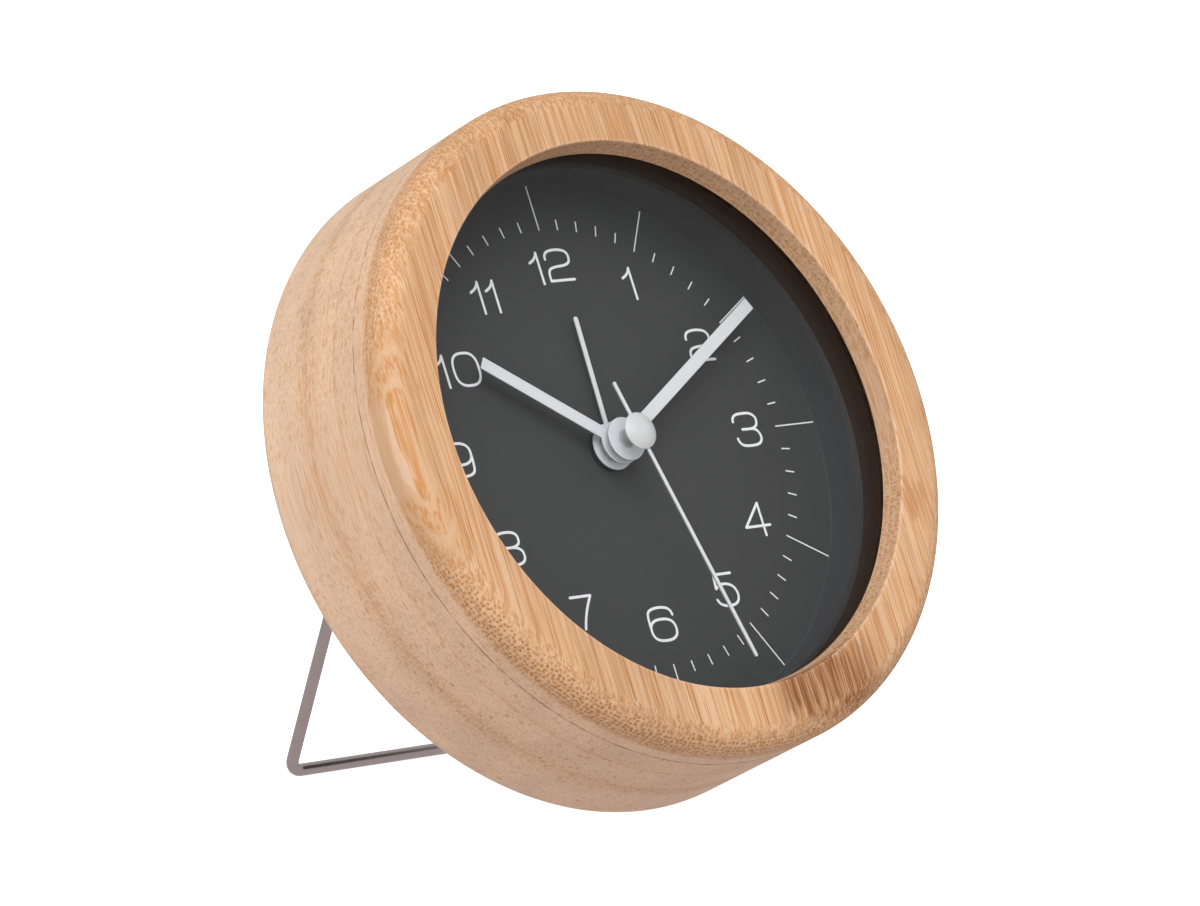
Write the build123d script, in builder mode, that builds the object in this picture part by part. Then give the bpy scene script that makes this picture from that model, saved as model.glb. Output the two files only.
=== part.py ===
# Round bamboo desk alarm clock that leans back on a folding wire stand.
# Row frame: floor at z = 0, +X to the viewer's right, +Y to the back, +Z up.
# Lengths are millimetres and angles are degrees.

import os
from math import atan2, cos, pi, radians, sin

from build123d import *

os.makedirs("parts", exist_ok=True)

# Lean of the dial and fits used all over
lean = 26.0
running_fit = 0.05
loose_fit = 0.2

# Bamboo case, levels counted along the dial axis from the printed dial
case_radius = 62.5
case_wall = 9.5
front_depth = 19.8
seam_level = 10.4
front_round = 4.6
rear_round = 2.5
lip_overlap = 2.3
lip_height = 4.3
lip_flare = 0.7
lip_ease = 0.4
quarter_turn = 90.0

# Lens, spacer ring, dial and the plate that carries the dial
lens_thickness = 2.0
lens_edge = 0.3
bore_play = 0.3
spacer_wall = 1.7
dial_thickness = 0.4
dial_plate_thickness = 1.6

# Rear cover
cover_thickness = 2.0
cover_inset = 0.3
cover_seat_width = 4.5
cover_rim_wall = 1.5
cover_rim_height = 3.0
cover_post_radius = 2.5
cover_post_inset = 7.0
cover_post_count = 4

# Wood screws of the rear cover
cover_screw_radius = 0.85
cover_screw_head = 1.75
cover_screw_length = 9.0
cover_screw_count = 4
countersink = 45.0
slot_width = 0.5
slot_depth = 0.5

# Wire stand: pins in the cover's eyes, two legs and a foot
wire_radius = 1.15
wire_bend = 2.6
leg_gap = 1.0
leg_swing = 21.3
pivot_up = 19.8
fold_gap = 0.25
pin_length = 7.6
eye_wall = 1.35
eye_gap = 0.4
stop_thickness = 2.4
stop_reach = 6.5
stop_width = 2.0

# Movement housing
train_drop = 12.7
coil_gap = 0.5
housing_wall = 1.2
housing_corner = 1.0
floor_thickness = 1.6
plate_thickness = 1.2
pivot_depth = 0.7
pivot_end_gap = 0.2
window_gap = 0.3
wheel_room = 0.4

# Movement screws and the bosses they enter
boss_radius = 1.9
boss_height = 3.0
movement_screw_radius = 0.85
movement_screw_head = 1.75
movement_screw_head_height = 1.1
low_screw_row = 4.0

# Battery bay, battery, contacts and door
battery_radius = 7.25
battery_length = 50.5
nub_radius = 2.75
nub_length = 1.3
battery_gap = 0.15
bay_wall = 0.8
bay_end_wall = 1.6
contact_room = 1.15
contact_thickness = 0.4
contact_width = 9.0
contact_base = 2.6
contact_tip = 1.4
door_thickness = 1.3
door_ledge = 0.5
door_gap = 0.1
grip_radius = 4.5
grip_depth = 0.6

# Wheels: counts of teeth, and distances between the arbors
arbor_radius = 0.5
shaft_radius = 1.2
wheel_thickness = 1.0
mesh_overlap = 0.2
rotor_pinion_teeth = 6
intermediate_teeth = 36
intermediate_pinion_teeth = 6
seconds_teeth = 30
seconds_pinion_teeth = 6
third_teeth = 45
third_pinion_teeth = 6
minute_teeth = 48
cannon_teeth = 8
motion_teeth = 24
motion_pinion_teeth = 8
hour_teeth = 32
time_pinion_teeth = 8
alarm_teeth = 36
alarm_pinion_teeth = 12
third_distance = 12.24
intermediate_distance = 12.6
rotor_distance = 8.4
motion_distance = 12.0
alarm_distance = 14.4
third_bearing = 60.0
intermediate_bearing = 150.0
rotor_bearing = 120.0
motion_bearing = 0.0
time_bearing = -30.0
alarm_bearing = 205.0

# Tooth form, as shares of the module and of the tooth pitch
tip_height_share = 0.8
root_depth_share = 1.1
tip_width_share = 0.16
root_width_share = 0.5
half_pitch_share = 0.5

# Rear faces of the wheels behind the front plate, as shares of the train's depth
alarm_wheel_share = 0.106
hour_wheel_share = 0.22
motion_wheel_share = 0.369
minute_wheel_share = 0.525
third_wheel_share = 0.66
seconds_wheel_share = 0.794
intermediate_wheel_share = 0.915

# Nested tubes of the hands, and the bush round them
second_shaft_radius = 0.8
tube_wall = 0.8
hour_tube_wall = 0.75
alarm_tube_wall = 0.45
bush_wall = 1.15
bush_proud = 0.3

# Hands: level of each blade as a share of the room under the lens, reach as a share of the
# open dial's radius, widths and shown angles
hand_thickness = 0.35
alarm_level_share = 0.089
hour_level_share = 0.252
minute_level_share = 0.393
second_level_share = 0.674
hand_disc_radius = 4.1
alarm_disc_radius = 4.4
collar_wall = 0.7
collar_gap = 0.3
tube_proud = 0.1
hand_fit = 0.02
alarm_reach_share = 0.488
alarm_hand_width = 1.0
hour_reach_share = 0.612
hour_hand_width = 2.4
minute_reach_share = 0.886
minute_hand_width = 2.5
second_reach_share = 0.884
second_tail_share = 0.194
second_hand_width = 0.75
second_socket_radius = 1.5
tip_round_share = 0.45
alarm_angle = 1.4
hour_angle = 303.9
minute_angle = 59.5
second_angle = 165.9

# Domed cap on the second hand
cap_radius = 3.45
cap_edge = 0.35
cap_height = 1.4

# Setting knobs
knob_radius = 4.6
knob_height = 3.0
knob_gap = 0.5
knob_flute_count = 18
knob_flute_radius = 0.45

# Alarm switch slider
switch_column = -4.0
switch_drop = 4.5
switch_travel = 4.0
switch_stem_width = 3.0
switch_stem_height = 2.0
switch_grip_width = 5.0
switch_grip_height = 3.2
switch_grip_depth = 1.3
switch_base_width = 8.0
switch_base_height = 4.0
switch_base_depth = 0.9
switch_gap = 0.1

# Buzzer disc and the holes that let its sound out
buzzer_inset = (13.5, 10.0)
buzzer_radius = 8.5
buzzer_thickness = 0.4
buzzer_seat_height = 0.4
buzzer_seat_width = 1.5
sound_hole_radius = 0.8
sound_hole_circle = 4.0
sound_hole_count = 6

# Step motor
magnet_radius = 2.5
magnet_height = 2.2
air_gap = 0.5
stator_thickness = 1.0
stator_margin = 0.8
stator_half_width = 7.4
stator_arm = 3.0
core_rise = 7.83
core_height = 2.4
core_thickness = 1.0
coil_radius = 3.1
coil_flange = 0.3
flange_thickness = 0.6

# Circuit board and what is on it
board_margin = 6.5
board_height = 10.4
board_edge_gap = 0.3
board_drop = 1.8
board_thickness = 1.0
board_post_inset = 2.5
board_post_radius = 1.2
crystal_radius = 1.0
crystal_length = 6.2
crystal_inset = (6.5, 3.4)
chip_radius = 3.2
chip_height = 1.0
chip_round_share = 0.6
chip_inset = (23.5, 5.4)

# Radii and levels of the case and of what is under the lens
lean_sin = sin(radians(lean))
lean_cos = cos(radians(lean))
bore_radius = case_radius - case_wall
lip_radius = bore_radius - lip_overlap
lip_rim = lip_radius + lip_flare + lip_ease
lens_front = front_depth - lip_height
lens_rear = lens_front - lens_thickness
lens_radius = bore_radius - bore_play
dial_reach = lens_radius - spacer_wall
dial_plate_front = -dial_thickness
plate_front = dial_plate_front - dial_plate_thickness
plate_rear = plate_front - plate_thickness
boss_rear = plate_front - boss_height

# The battery bay sets how deep the case is behind the dial
bay_front = plate_front - bay_wall
battery_level = bay_front - battery_gap - battery_radius
door_inner = battery_level - battery_radius - battery_gap
cover_outer = door_inner - door_thickness
cover_inner = cover_outer + cover_thickness
rear_depth = cover_inset - cover_outer
cover_seat_radius = bore_radius + cover_seat_width
cover_screw_circle = bore_radius + cover_seat_width / 2
cover_post_circle = bore_radius - cover_post_inset
floor_inner = cover_outer + floor_thickness
buzzer_low = floor_inner + buzzer_seat_height
arbor_rear = floor_inner - pivot_depth + pivot_end_gap
arbor_front = plate_rear + pivot_depth - pivot_end_gap

# Levels of the wheels and of the hands
train_depth = plate_rear - floor_inner
alarm_wheel_level = plate_rear - train_depth * alarm_wheel_share
hour_wheel_level = plate_rear - train_depth * hour_wheel_share
motion_wheel_level = plate_rear - train_depth * motion_wheel_share
minute_wheel_level = plate_rear - train_depth * minute_wheel_share
third_wheel_level = plate_rear - train_depth * third_wheel_share
seconds_wheel_level = plate_rear - train_depth * seconds_wheel_share
intermediate_wheel_level = plate_rear - train_depth * intermediate_wheel_share
alarm_hand_level = lens_rear * alarm_level_share
hour_hand_level = lens_rear * hour_level_share
minute_hand_level = lens_rear * minute_level_share
second_hand_level = lens_rear * second_level_share

# Nested tubes
minute_tube_inner = second_shaft_radius + running_fit
minute_tube_outer = minute_tube_inner + tube_wall
hour_tube_inner = minute_tube_outer + running_fit
hour_tube_outer = hour_tube_inner + hour_tube_wall
alarm_tube_inner = hour_tube_outer + running_fit
alarm_tube_outer = alarm_tube_inner + alarm_tube_wall
bush_inner = alarm_tube_outer + running_fit
bush_outer = bush_inner + bush_wall
dial_hole = bush_outer + running_fit
alarm_tube_top = alarm_hand_level + hand_thickness + tube_proud
hour_tube_top = hour_hand_level + hand_thickness + tube_proud
minute_tube_top = minute_hand_level + hand_thickness + tube_proud
second_shaft_top = second_hand_level - collar_gap


# Point at a distance and a bearing, counted anticlockwise from the viewer's right
def polar(origin, distance, bearing):
    turn = radians(bearing)
    return (origin[0] + distance * cos(turn), origin[1] + distance * sin(turn))


# Places of the arbors in the dial's plane
centre = (0, 0)
third_place = polar(centre, third_distance, third_bearing)
intermediate_place = polar(centre, intermediate_distance, intermediate_bearing)
rotor_place = polar(intermediate_place, rotor_distance, rotor_bearing)
motion_place = polar(centre, motion_distance, motion_bearing)
time_distance = motion_distance * (motion_teeth + time_pinion_teeth) / (motion_teeth + cannon_teeth)
time_place = polar(motion_place, time_distance, time_bearing)
alarm_place = polar(centre, alarm_distance, alarm_bearing)
arbor_places = (centre, third_place, intermediate_place, rotor_place, motion_place)

# The housing goes round the coil at its top, the train, and the battery bay at its bottom
core_row = rotor_place[1] + core_rise
housing_top = core_row + coil_radius + coil_flange + coil_gap + housing_wall
train_bottom = -train_drop
bay_top = train_bottom - bay_wall
battery_row = bay_top - battery_gap - battery_radius
bay_bottom = battery_row - battery_radius - battery_gap
housing_bottom = bay_bottom - housing_wall
bay_half_length = battery_length / 2 + contact_room
time_module = 2 * time_distance / (motion_teeth + time_pinion_teeth)
time_tip = time_module * (time_pinion_teeth / 2 + tip_height_share)
train_half_width = time_place[0] + time_tip + wheel_room + housing_wall
housing_width = 2 * max(bay_half_length + bay_end_wall, train_half_width)
screw_hole = movement_screw_radius + running_fit
screw_inset = housing_wall + boss_radius + loose_fit
screw_column = housing_width / 2 - screw_inset
screw_rows = (housing_top - screw_inset, low_screw_row)
screw_places = [(side * screw_column, row) for side in (-1, 1) for row in screw_rows]
switch_row = housing_top - switch_drop
buzzer_place = (housing_width / 2 - buzzer_inset[0], housing_top - buzzer_inset[1])
board_width = housing_width - 2 * board_margin
board_top = housing_top - housing_wall - board_edge_gap
board_bottom = board_top - board_height
board_front = plate_rear - board_drop
board_post_column = board_width / 2 - board_post_inset
crystal_place = (board_width / 2 - crystal_inset[0], board_top - crystal_inset[1])
chip_place = (board_width / 2 - chip_inset[0], board_top - chip_inset[1])

# The case leans back until its rear edge and the stand's foot both touch the floor
leg_spread = housing_width / 2 + leg_gap
pivot_level = -(rear_depth + wire_radius + fold_gap)
dial_height = (case_radius - rear_round) * lean_cos + (rear_depth - rear_round) * lean_sin + rear_round
pivot_height = dial_height + pivot_up * lean_cos + pivot_level * lean_sin
leg_length = (pivot_height - wire_radius) / cos(radians(leg_swing))
leg_reach = leg_length * sin(radians(leg_swing))
stand_opening = leg_swing + lean
foot_reach = pivot_up * lean_sin - pivot_level * lean_cos + leg_reach + wire_radius
front_reach = (case_radius - front_round) * lean_sin + (front_depth - front_round) * lean_cos + front_round
dial_back = (front_reach - foot_reach) / 2

# Planes: the printed dial, and a section through its axis with local y along that axis
dial_middle = (0, dial_back, dial_height)
face = Plane(origin=dial_middle, x_dir=(1, 0, 0), z_dir=(0, -lean_cos, lean_sin))
section = Plane(origin=dial_middle, x_dir=(1, 0, 0), z_dir=(0, -lean_sin, -lean_cos))
dial_axis = Axis(dial_middle, (0, -lean_cos, lean_sin))


def spot(place, level):
    return Plane(
        origin=face.from_local_coords(Vector(place[0], place[1], level)),
        x_dir=face.x_dir,
        z_dir=face.z_dir,
    )


def disc(place, low, high, radius, mode=Mode.ADD):
    with BuildSketch(spot(place, low)) as outline:
        Circle(radius)
    extrude(outline.sketch, amount=high - low, mode=mode)


def tube(place, low, high, outer, inner):
    with BuildSketch(spot(place, low)) as outline:
        Circle(outer)
        Circle(inner, mode=Mode.SUBTRACT)
    extrude(outline.sketch, amount=high - low)


# A block between two corners of the dial plane
def slab(left, right, bottom, top, low, high, corner=0, mode=Mode.ADD):
    middle = ((left + right) / 2, (bottom + top) / 2)
    with BuildSketch(spot(middle, low)) as outline:
        Rectangle(right - left, top - bottom)
        if corner:
            fillet(outline.vertices(), corner)
    extrude(outline.sketch, amount=high - low, mode=mode)


# Module of a pair of wheels from the distance of their arbors
def pair_module(distance, teeth, other_teeth):
    return 2 * distance / (teeth + other_teeth)


# Turn of a wheel whose gap faces a tooth of its neighbour, in pitches of teeth
def meshed_turn(place, teeth, turn, other_place, other_teeth):
    bearing = atan2(other_place[1] - place[1], other_place[0] - place[0])
    pitch = 2 * pi / teeth
    other_pitch = 2 * pi / other_teeth
    passed = (bearing - turn) / pitch
    return bearing + pi - other_pitch * (half_pitch_share - passed)


def toothed(place, low, high, teeth, module, turn):
    pitch = 2 * pi / teeth
    tip = module * (teeth / 2 + tip_height_share)
    root = module * (teeth / 2 - root_depth_share)
    form = (
        (root, -root_width_share),
        (tip, -tip_width_share),
        (tip, tip_width_share),
        (root, root_width_share),
    )
    corners = []
    for tooth in range(teeth):
        for radius, half_share in form:
            angle = turn + pitch * (tooth + half_share / 2)
            corners.append((radius * cos(angle), radius * sin(angle)))
    with BuildSketch(spot(place, low)) as outline:
        with BuildLine():
            Polyline(*corners, close=True)
        make_face()
    extrude(outline.sketch, amount=high - low)


# Plane of a hand: local y runs from the hub to the tip, angle clockwise from the twelve
def hand_plane(level, angle):
    turn = radians(angle)
    return Plane(
        origin=face.from_local_coords(Vector(0, 0, level)),
        x_dir=face.x_dir * cos(turn) - face.y_dir * sin(turn),
        z_dir=face.z_dir,
    )


# Bamboo front ring: flat front, rounded outer edge, lip flared towards the viewer
with BuildPart() as front_ring:
    with BuildSketch(section):
        with BuildLine():
            front_run = Line((lip_rim, front_depth), (case_radius - front_round, front_depth))
            crown = JernArc(start=front_run @ 1, tangent=(1, 0), radius=front_round, arc_size=-quarter_turn)
            lip_top = (lip_radius + lip_flare, front_depth - lip_ease)
            Polyline(
                crown @ 1,
                (case_radius, seam_level),
                (bore_radius, seam_level),
                (bore_radius, lens_front),
                (lip_radius, lens_front),
                lip_top,
            )
            JernArc(start=front_run @ 0, tangent=(-1, 0), radius=lip_ease, arc_size=quarter_turn)
        make_face()
    revolve(axis=dial_axis)

# Bamboo body: straight side, bore for the dial, seat for the rear cover
with BuildPart() as case_body:
    with BuildSketch(section):
        with BuildLine():
            side_run = Line((case_radius, seam_level), (case_radius, rear_round - rear_depth))
            heel = JernArc(start=side_run @ 1, tangent=(0, -1), radius=rear_round, arc_size=-quarter_turn)
            Polyline(
                heel @ 1,
                (cover_seat_radius, -rear_depth),
                (cover_seat_radius, cover_inner),
                (bore_radius, cover_inner),
                (bore_radius, seam_level),
                side_run @ 0,
            )
        make_face()
    revolve(axis=dial_axis)
    with BuildSketch(face.offset(cover_inner)):
        with PolarLocations(cover_screw_circle, cover_screw_count, start_angle=180 / cover_screw_count):
            Circle(cover_screw_radius + running_fit)
    extrude(amount=cover_screw_length, mode=Mode.SUBTRACT)

with BuildPart() as lens:
    disc(centre, lens_rear, lens_front, lens_radius)
    chamfer(lens.edges(), lens_edge)

with BuildPart() as spacer_ring:
    tube(centre, 0, lens_rear, lens_radius, lens_radius - spacer_wall)

with BuildPart() as dial:
    tube(centre, dial_plate_front, 0, lens_radius, dial_hole)

# Dial plate: carries the dial in front and the movement behind, on four bosses
with BuildPart() as dial_plate:
    tube(centre, plate_front, dial_plate_front, lens_radius, dial_hole)
    for place in screw_places:
        disc(place, boss_rear, plate_front, boss_radius)
        disc(place, boss_rear, dial_plate_front, screw_hole, Mode.SUBTRACT)

# Rear cover: flat ring with a window for the movement, posts that press the dial plate
# forward, eyes for the stand's pins and a slanted stop above each leg
stand_middle = (pivot_up, pivot_level)
open_sin = sin(radians(stand_opening))
open_cos = cos(radians(stand_opening))
eye_radius = wire_radius + running_fit + eye_wall
eye_near = leg_spread + wire_bend + eye_gap
eye_far = leg_spread + pin_length + eye_gap


# Point beside an open leg: along the leg from its pivot, and out on its upper side
def beside_leg(along, out):
    return (pivot_up - along * open_cos + out * open_sin, pivot_level - along * open_sin - out * open_cos)


# Distance back along the leg's direction to the cover, from a line beside the leg
def back_to_cover(out):
    return (cover_outer - pivot_level + out * open_cos) / open_sin


# Plane square to X with local x up along the dial and local y out along the dial axis
def side_plane(shift):
    return Plane(origin=face.from_local_coords(Vector(shift, 0, 0)), x_dir=face.y_dir, z_dir=face.x_dir)


stop_near = wire_radius + running_fit
stop_far = stop_near + stop_thickness
with BuildPart() as rear_cover:
    disc(centre, cover_outer, cover_inner, cover_seat_radius - loose_fit)
    tube(centre, cover_inner, cover_inner + cover_rim_height, lens_radius, lens_radius - cover_rim_wall)
    slab(
        -housing_width / 2 - window_gap,
        housing_width / 2 + window_gap,
        housing_bottom - window_gap,
        housing_top + window_gap,
        cover_outer,
        cover_inner + cover_rim_height,
        housing_corner,
        Mode.SUBTRACT,
    )
    with BuildSketch(face.offset(cover_inner)):
        with PolarLocations(cover_post_circle, cover_post_count):
            Circle(cover_post_radius)
    extrude(amount=plate_front - cover_inner)
    with BuildSketch(face.offset(cover_outer)):
        with PolarLocations(cover_screw_circle, cover_screw_count, start_angle=180 / cover_screw_count):
            Circle(cover_screw_head + running_fit)
    extrude(amount=cover_thickness, taper=countersink, mode=Mode.SUBTRACT)
    with BuildSketch(face.offset(cover_outer)):
        with PolarLocations(cover_screw_circle, cover_screw_count, start_angle=180 / cover_screw_count):
            Circle(cover_screw_radius + running_fit)
    extrude(amount=cover_thickness, mode=Mode.SUBTRACT)
    for start, end in ((-eye_far, -eye_near), (eye_near, eye_far)):
        with BuildSketch(side_plane(start)) as eye:
            with Locations(stand_middle):
                Circle(eye_radius)
            with Locations((pivot_up, (pivot_level + cover_outer) / 2)):
                Rectangle(2 * eye_radius, cover_outer - pivot_level)
            with Locations(stand_middle):
                Circle(wire_radius + running_fit, mode=Mode.SUBTRACT)
        extrude(eye.sketch, amount=end - start)
    for start in (-leg_spread - stop_width / 2, leg_spread - stop_width / 2):
        with BuildSketch(side_plane(start)) as stop:
            with BuildLine():
                Polyline(
                    beside_leg(stop_reach, stop_near),
                    beside_leg(stop_reach, stop_far),
                    beside_leg(-back_to_cover(stop_far), stop_far),
                    beside_leg(-back_to_cover(stop_near), stop_near),
                    close=True,
                )
            make_face()
        extrude(stop.sketch, amount=stop_width)

# Countersunk wood screws of the cover
with BuildPart() as cover_screws:
    with BuildSketch(face.offset(cover_outer)):
        with PolarLocations(cover_screw_circle, cover_screw_count, start_angle=180 / cover_screw_count):
            Circle(cover_screw_radius)
    extrude(amount=cover_screw_length)
    with BuildSketch(face.offset(cover_outer)):
        with PolarLocations(cover_screw_circle, cover_screw_count, start_angle=180 / cover_screw_count):
            Circle(cover_screw_head)
    extrude(amount=cover_screw_head - cover_screw_radius, taper=countersink)
    with BuildSketch(face.offset(cover_outer)):
        with PolarLocations(cover_screw_circle, cover_screw_count, start_angle=180 / cover_screw_count):
            Rectangle(2 * cover_screw_head, slot_width)
    extrude(amount=slot_depth, mode=Mode.SUBTRACT)

# Wire stand: one bent wire, local y runs from the foot up to the pivot
pivot_point = face.from_local_coords(Vector(0, pivot_up, pivot_level))
leg_up = Vector(0, -sin(radians(leg_swing)), cos(radians(leg_swing)))
stand_plane = Plane(origin=pivot_point, x_dir=(1, 0, 0), z_dir=Vector(1, 0, 0).cross(leg_up))
pin_end = leg_spread + pin_length
with BuildPart() as stand:
    with BuildLine(stand_plane) as wire_path:
        FilletPolyline(
            (pin_end, 0),
            (leg_spread, 0),
            (leg_spread, -leg_length),
            (-leg_spread, -leg_length),
            (-leg_spread, 0),
            (-pin_end, 0),
            radius=wire_bend,
        )
    with BuildSketch(Plane(origin=wire_path.line @ 0, z_dir=wire_path.line % 0)):
        Circle(wire_radius)
    sweep(path=wire_path.line)

# Movement front plate with the bush of the hands and blind pivots for the arbors
with BuildPart() as movement_front:
    slab(
        -housing_width / 2,
        housing_width / 2,
        train_bottom,
        housing_top,
        plate_rear,
        plate_front,
    )
    disc(centre, plate_rear, bush_proud, bush_outer)
    for side in (-1, 1):
        disc((side * board_post_column, core_row), board_front, plate_rear, board_post_radius)
    disc(centre, plate_rear, bush_proud, bush_inner, Mode.SUBTRACT)
    for place in arbor_places[1:] + (time_place, alarm_place):
        disc(place, plate_rear, plate_rear + pivot_depth, arbor_radius + running_fit, Mode.SUBTRACT)
    for place in screw_places:
        disc(place, plate_rear, plate_front, boss_radius + running_fit, Mode.SUBTRACT)

# Movement housing: a box for the train with a battery bay below it
switch_slot_left = switch_column - switch_stem_width / 2 - switch_gap
switch_slot_right = switch_column + switch_stem_width / 2 + switch_travel + switch_gap
head_seat = cover_outer + movement_screw_head_height
with BuildPart() as movement_housing:
    slab(
        -housing_width / 2,
        housing_width / 2,
        housing_bottom,
        housing_top,
        cover_outer,
        plate_rear,
        housing_corner,
    )
    slab(-housing_width / 2, housing_width / 2, housing_bottom, train_bottom, plate_rear, plate_front)
    slab(
        -housing_width / 2 + housing_wall,
        housing_width / 2 - housing_wall,
        train_bottom,
        housing_top - housing_wall,
        floor_inner,
        plate_rear,
        mode=Mode.SUBTRACT,
    )
    slab(-bay_half_length, bay_half_length, bay_bottom, bay_top, cover_outer, bay_front, mode=Mode.SUBTRACT)
    slab(
        -bay_half_length - door_ledge,
        bay_half_length + door_ledge,
        bay_bottom - door_ledge,
        bay_top + door_ledge,
        cover_outer,
        door_inner,
        mode=Mode.SUBTRACT,
    )
    for place in screw_places:
        disc(place, floor_inner, boss_rear, boss_radius)
        disc(place, cover_outer, boss_rear, screw_hole, Mode.SUBTRACT)
        disc(place, cover_outer, head_seat, movement_screw_head + running_fit, Mode.SUBTRACT)
    for place in arbor_places:
        disc(place, floor_inner - pivot_depth, floor_inner, arbor_radius + running_fit, Mode.SUBTRACT)
    for place in (time_place, alarm_place):
        disc(place, cover_outer, floor_inner, shaft_radius + running_fit, Mode.SUBTRACT)
    tube(buzzer_place, floor_inner, buzzer_low, buzzer_radius, buzzer_radius - buzzer_seat_width)
    with BuildSketch(spot(buzzer_place, cover_outer)) as sound_holes:
        Circle(sound_hole_radius)
        with PolarLocations(sound_hole_circle, sound_hole_count):
            Circle(sound_hole_radius)
    extrude(sound_holes.sketch, amount=floor_thickness, mode=Mode.SUBTRACT)
    slab(
        switch_slot_left,
        switch_slot_right,
        switch_row - switch_stem_height / 2 - switch_gap,
        switch_row + switch_stem_height / 2 + switch_gap,
        cover_outer,
        floor_inner,
        mode=Mode.SUBTRACT,
    )

# Screws that hold the housing and its front plate to the dial plate
with BuildPart() as movement_screws:
    for place in screw_places:
        disc(place, cover_outer, head_seat, movement_screw_head)
        disc(place, head_seat, plate_front, movement_screw_radius)
    for place in screw_places:
        slab(
            place[0] - movement_screw_head,
            place[0] + movement_screw_head,
            place[1] - slot_width / 2,
            place[1] + slot_width / 2,
            cover_outer,
            cover_outer + slot_depth,
            mode=Mode.SUBTRACT,
        )

# Step motor: two-pole rotor in the stator's hole, coil on a core above it
rotor_module = pair_module(rotor_distance, rotor_pinion_teeth, intermediate_teeth)
magnet_middle = seconds_wheel_level + wheel_thickness + stator_thickness / 2
magnet_low = magnet_middle - magnet_height / 2
with BuildPart() as rotor:
    low = intermediate_wheel_level - mesh_overlap
    toothed(rotor_place, low, magnet_low, rotor_pinion_teeth, rotor_module, 0)
    disc(rotor_place, magnet_low, magnet_low + magnet_height, magnet_radius)
    disc(rotor_place, arbor_rear, arbor_front, arbor_radius)

stator_low = magnet_middle - stator_thickness / 2
stator_front = stator_low + stator_thickness
stator_hole = magnet_radius + air_gap
stator_left = rotor_place[0] - stator_half_width
stator_right = rotor_place[0] + stator_half_width
core_top = core_row + core_height / 2
core_bottom = core_row - core_height / 2
with BuildPart() as stator:
    slab(
        stator_left,
        stator_right,
        rotor_place[1] - stator_hole - stator_margin,
        rotor_place[1] + stator_hole + stator_margin,
        stator_low,
        stator_front,
    )
    for left in (stator_left, stator_right - stator_arm):
        slab(left, left + stator_arm, rotor_place[1], core_top, stator_low, stator_front)
    disc(rotor_place, stator_low, stator_front, stator_hole, Mode.SUBTRACT)

core_middle = (core_row, stator_front + core_thickness / 2)
coil_half_length = stator_half_width - stator_arm - flange_thickness - loose_fit
coil_left = rotor_place[0] - coil_half_length
with BuildPart() as coil_bobbin:
    slab(stator_left, stator_right, core_bottom, core_top, stator_front, stator_front + core_thickness)
    for start in (coil_left - flange_thickness, coil_left + 2 * coil_half_length):
        with BuildSketch(side_plane(start)) as flange:
            with Locations(core_middle):
                Circle(coil_radius + coil_flange)
        extrude(flange.sketch, amount=flange_thickness)

with BuildPart() as coil_winding:
    with BuildSketch(side_plane(coil_left)) as turns:
        with Locations(core_middle):
            Circle(coil_radius)
            Rectangle(core_height, core_thickness, mode=Mode.SUBTRACT)
    extrude(turns.sketch, amount=2 * coil_half_length)

# Circuit board on the front plate's posts, with its crystal and chip on the rear side
board_rear = board_front - board_thickness
with BuildPart() as circuit_board:
    slab(-board_width / 2, board_width / 2, board_bottom, board_top, board_rear, board_front)

with BuildPart() as quartz_crystal:
    with BuildSketch(side_plane(crystal_place[0] - crystal_length / 2)) as can:
        with Locations((crystal_place[1], board_rear - crystal_radius)):
            Circle(crystal_radius)
    extrude(can.sketch, amount=crystal_length)

with BuildPart() as circuit_chip:
    disc(chip_place, board_rear - chip_height, board_rear, chip_radius)
    fillet(circuit_chip.edges().group_by(dial_axis)[0], chip_height * chip_round_share)

with BuildPart() as buzzer:
    disc(buzzer_place, buzzer_low, buzzer_low + buzzer_thickness, buzzer_radius)

# Going train
train_module = pair_module(intermediate_distance, intermediate_pinion_teeth, seconds_teeth)
third_module = pair_module(third_distance, seconds_pinion_teeth, third_teeth)
minute_module = pair_module(third_distance, third_pinion_teeth, minute_teeth)
intermediate_turn = meshed_turn(rotor_place, rotor_pinion_teeth, 0, intermediate_place, intermediate_teeth)
seconds_turn = meshed_turn(intermediate_place, intermediate_pinion_teeth, 0, centre, seconds_teeth)
third_turn = meshed_turn(centre, seconds_pinion_teeth, 0, third_place, third_teeth)
minute_turn = meshed_turn(third_place, third_pinion_teeth, 0, centre, minute_teeth)
pinion_lift = wheel_thickness + mesh_overlap

with BuildPart() as intermediate_wheel:
    low = intermediate_wheel_level
    high = low + wheel_thickness
    toothed(intermediate_place, low, high, intermediate_teeth, rotor_module, intermediate_turn)
    pinion_top = seconds_wheel_level + pinion_lift
    toothed(intermediate_place, high, pinion_top, intermediate_pinion_teeth, train_module, 0)
    disc(intermediate_place, arbor_rear, arbor_front, arbor_radius)

with BuildPart() as seconds_wheel:
    low = seconds_wheel_level
    high = low + wheel_thickness
    toothed(centre, low, high, seconds_teeth, train_module, seconds_turn)
    toothed(centre, high, third_wheel_level + pinion_lift, seconds_pinion_teeth, third_module, 0)
    disc(centre, arbor_rear, low, arbor_radius)
    disc(centre, high, second_shaft_top, second_shaft_radius)

with BuildPart() as third_wheel:
    low = third_wheel_level
    high = low + wheel_thickness
    toothed(third_place, low, high, third_teeth, third_module, third_turn)
    toothed(third_place, high, minute_wheel_level + pinion_lift, third_pinion_teeth, minute_module, 0)
    disc(third_place, arbor_rear, arbor_front, arbor_radius)

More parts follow.
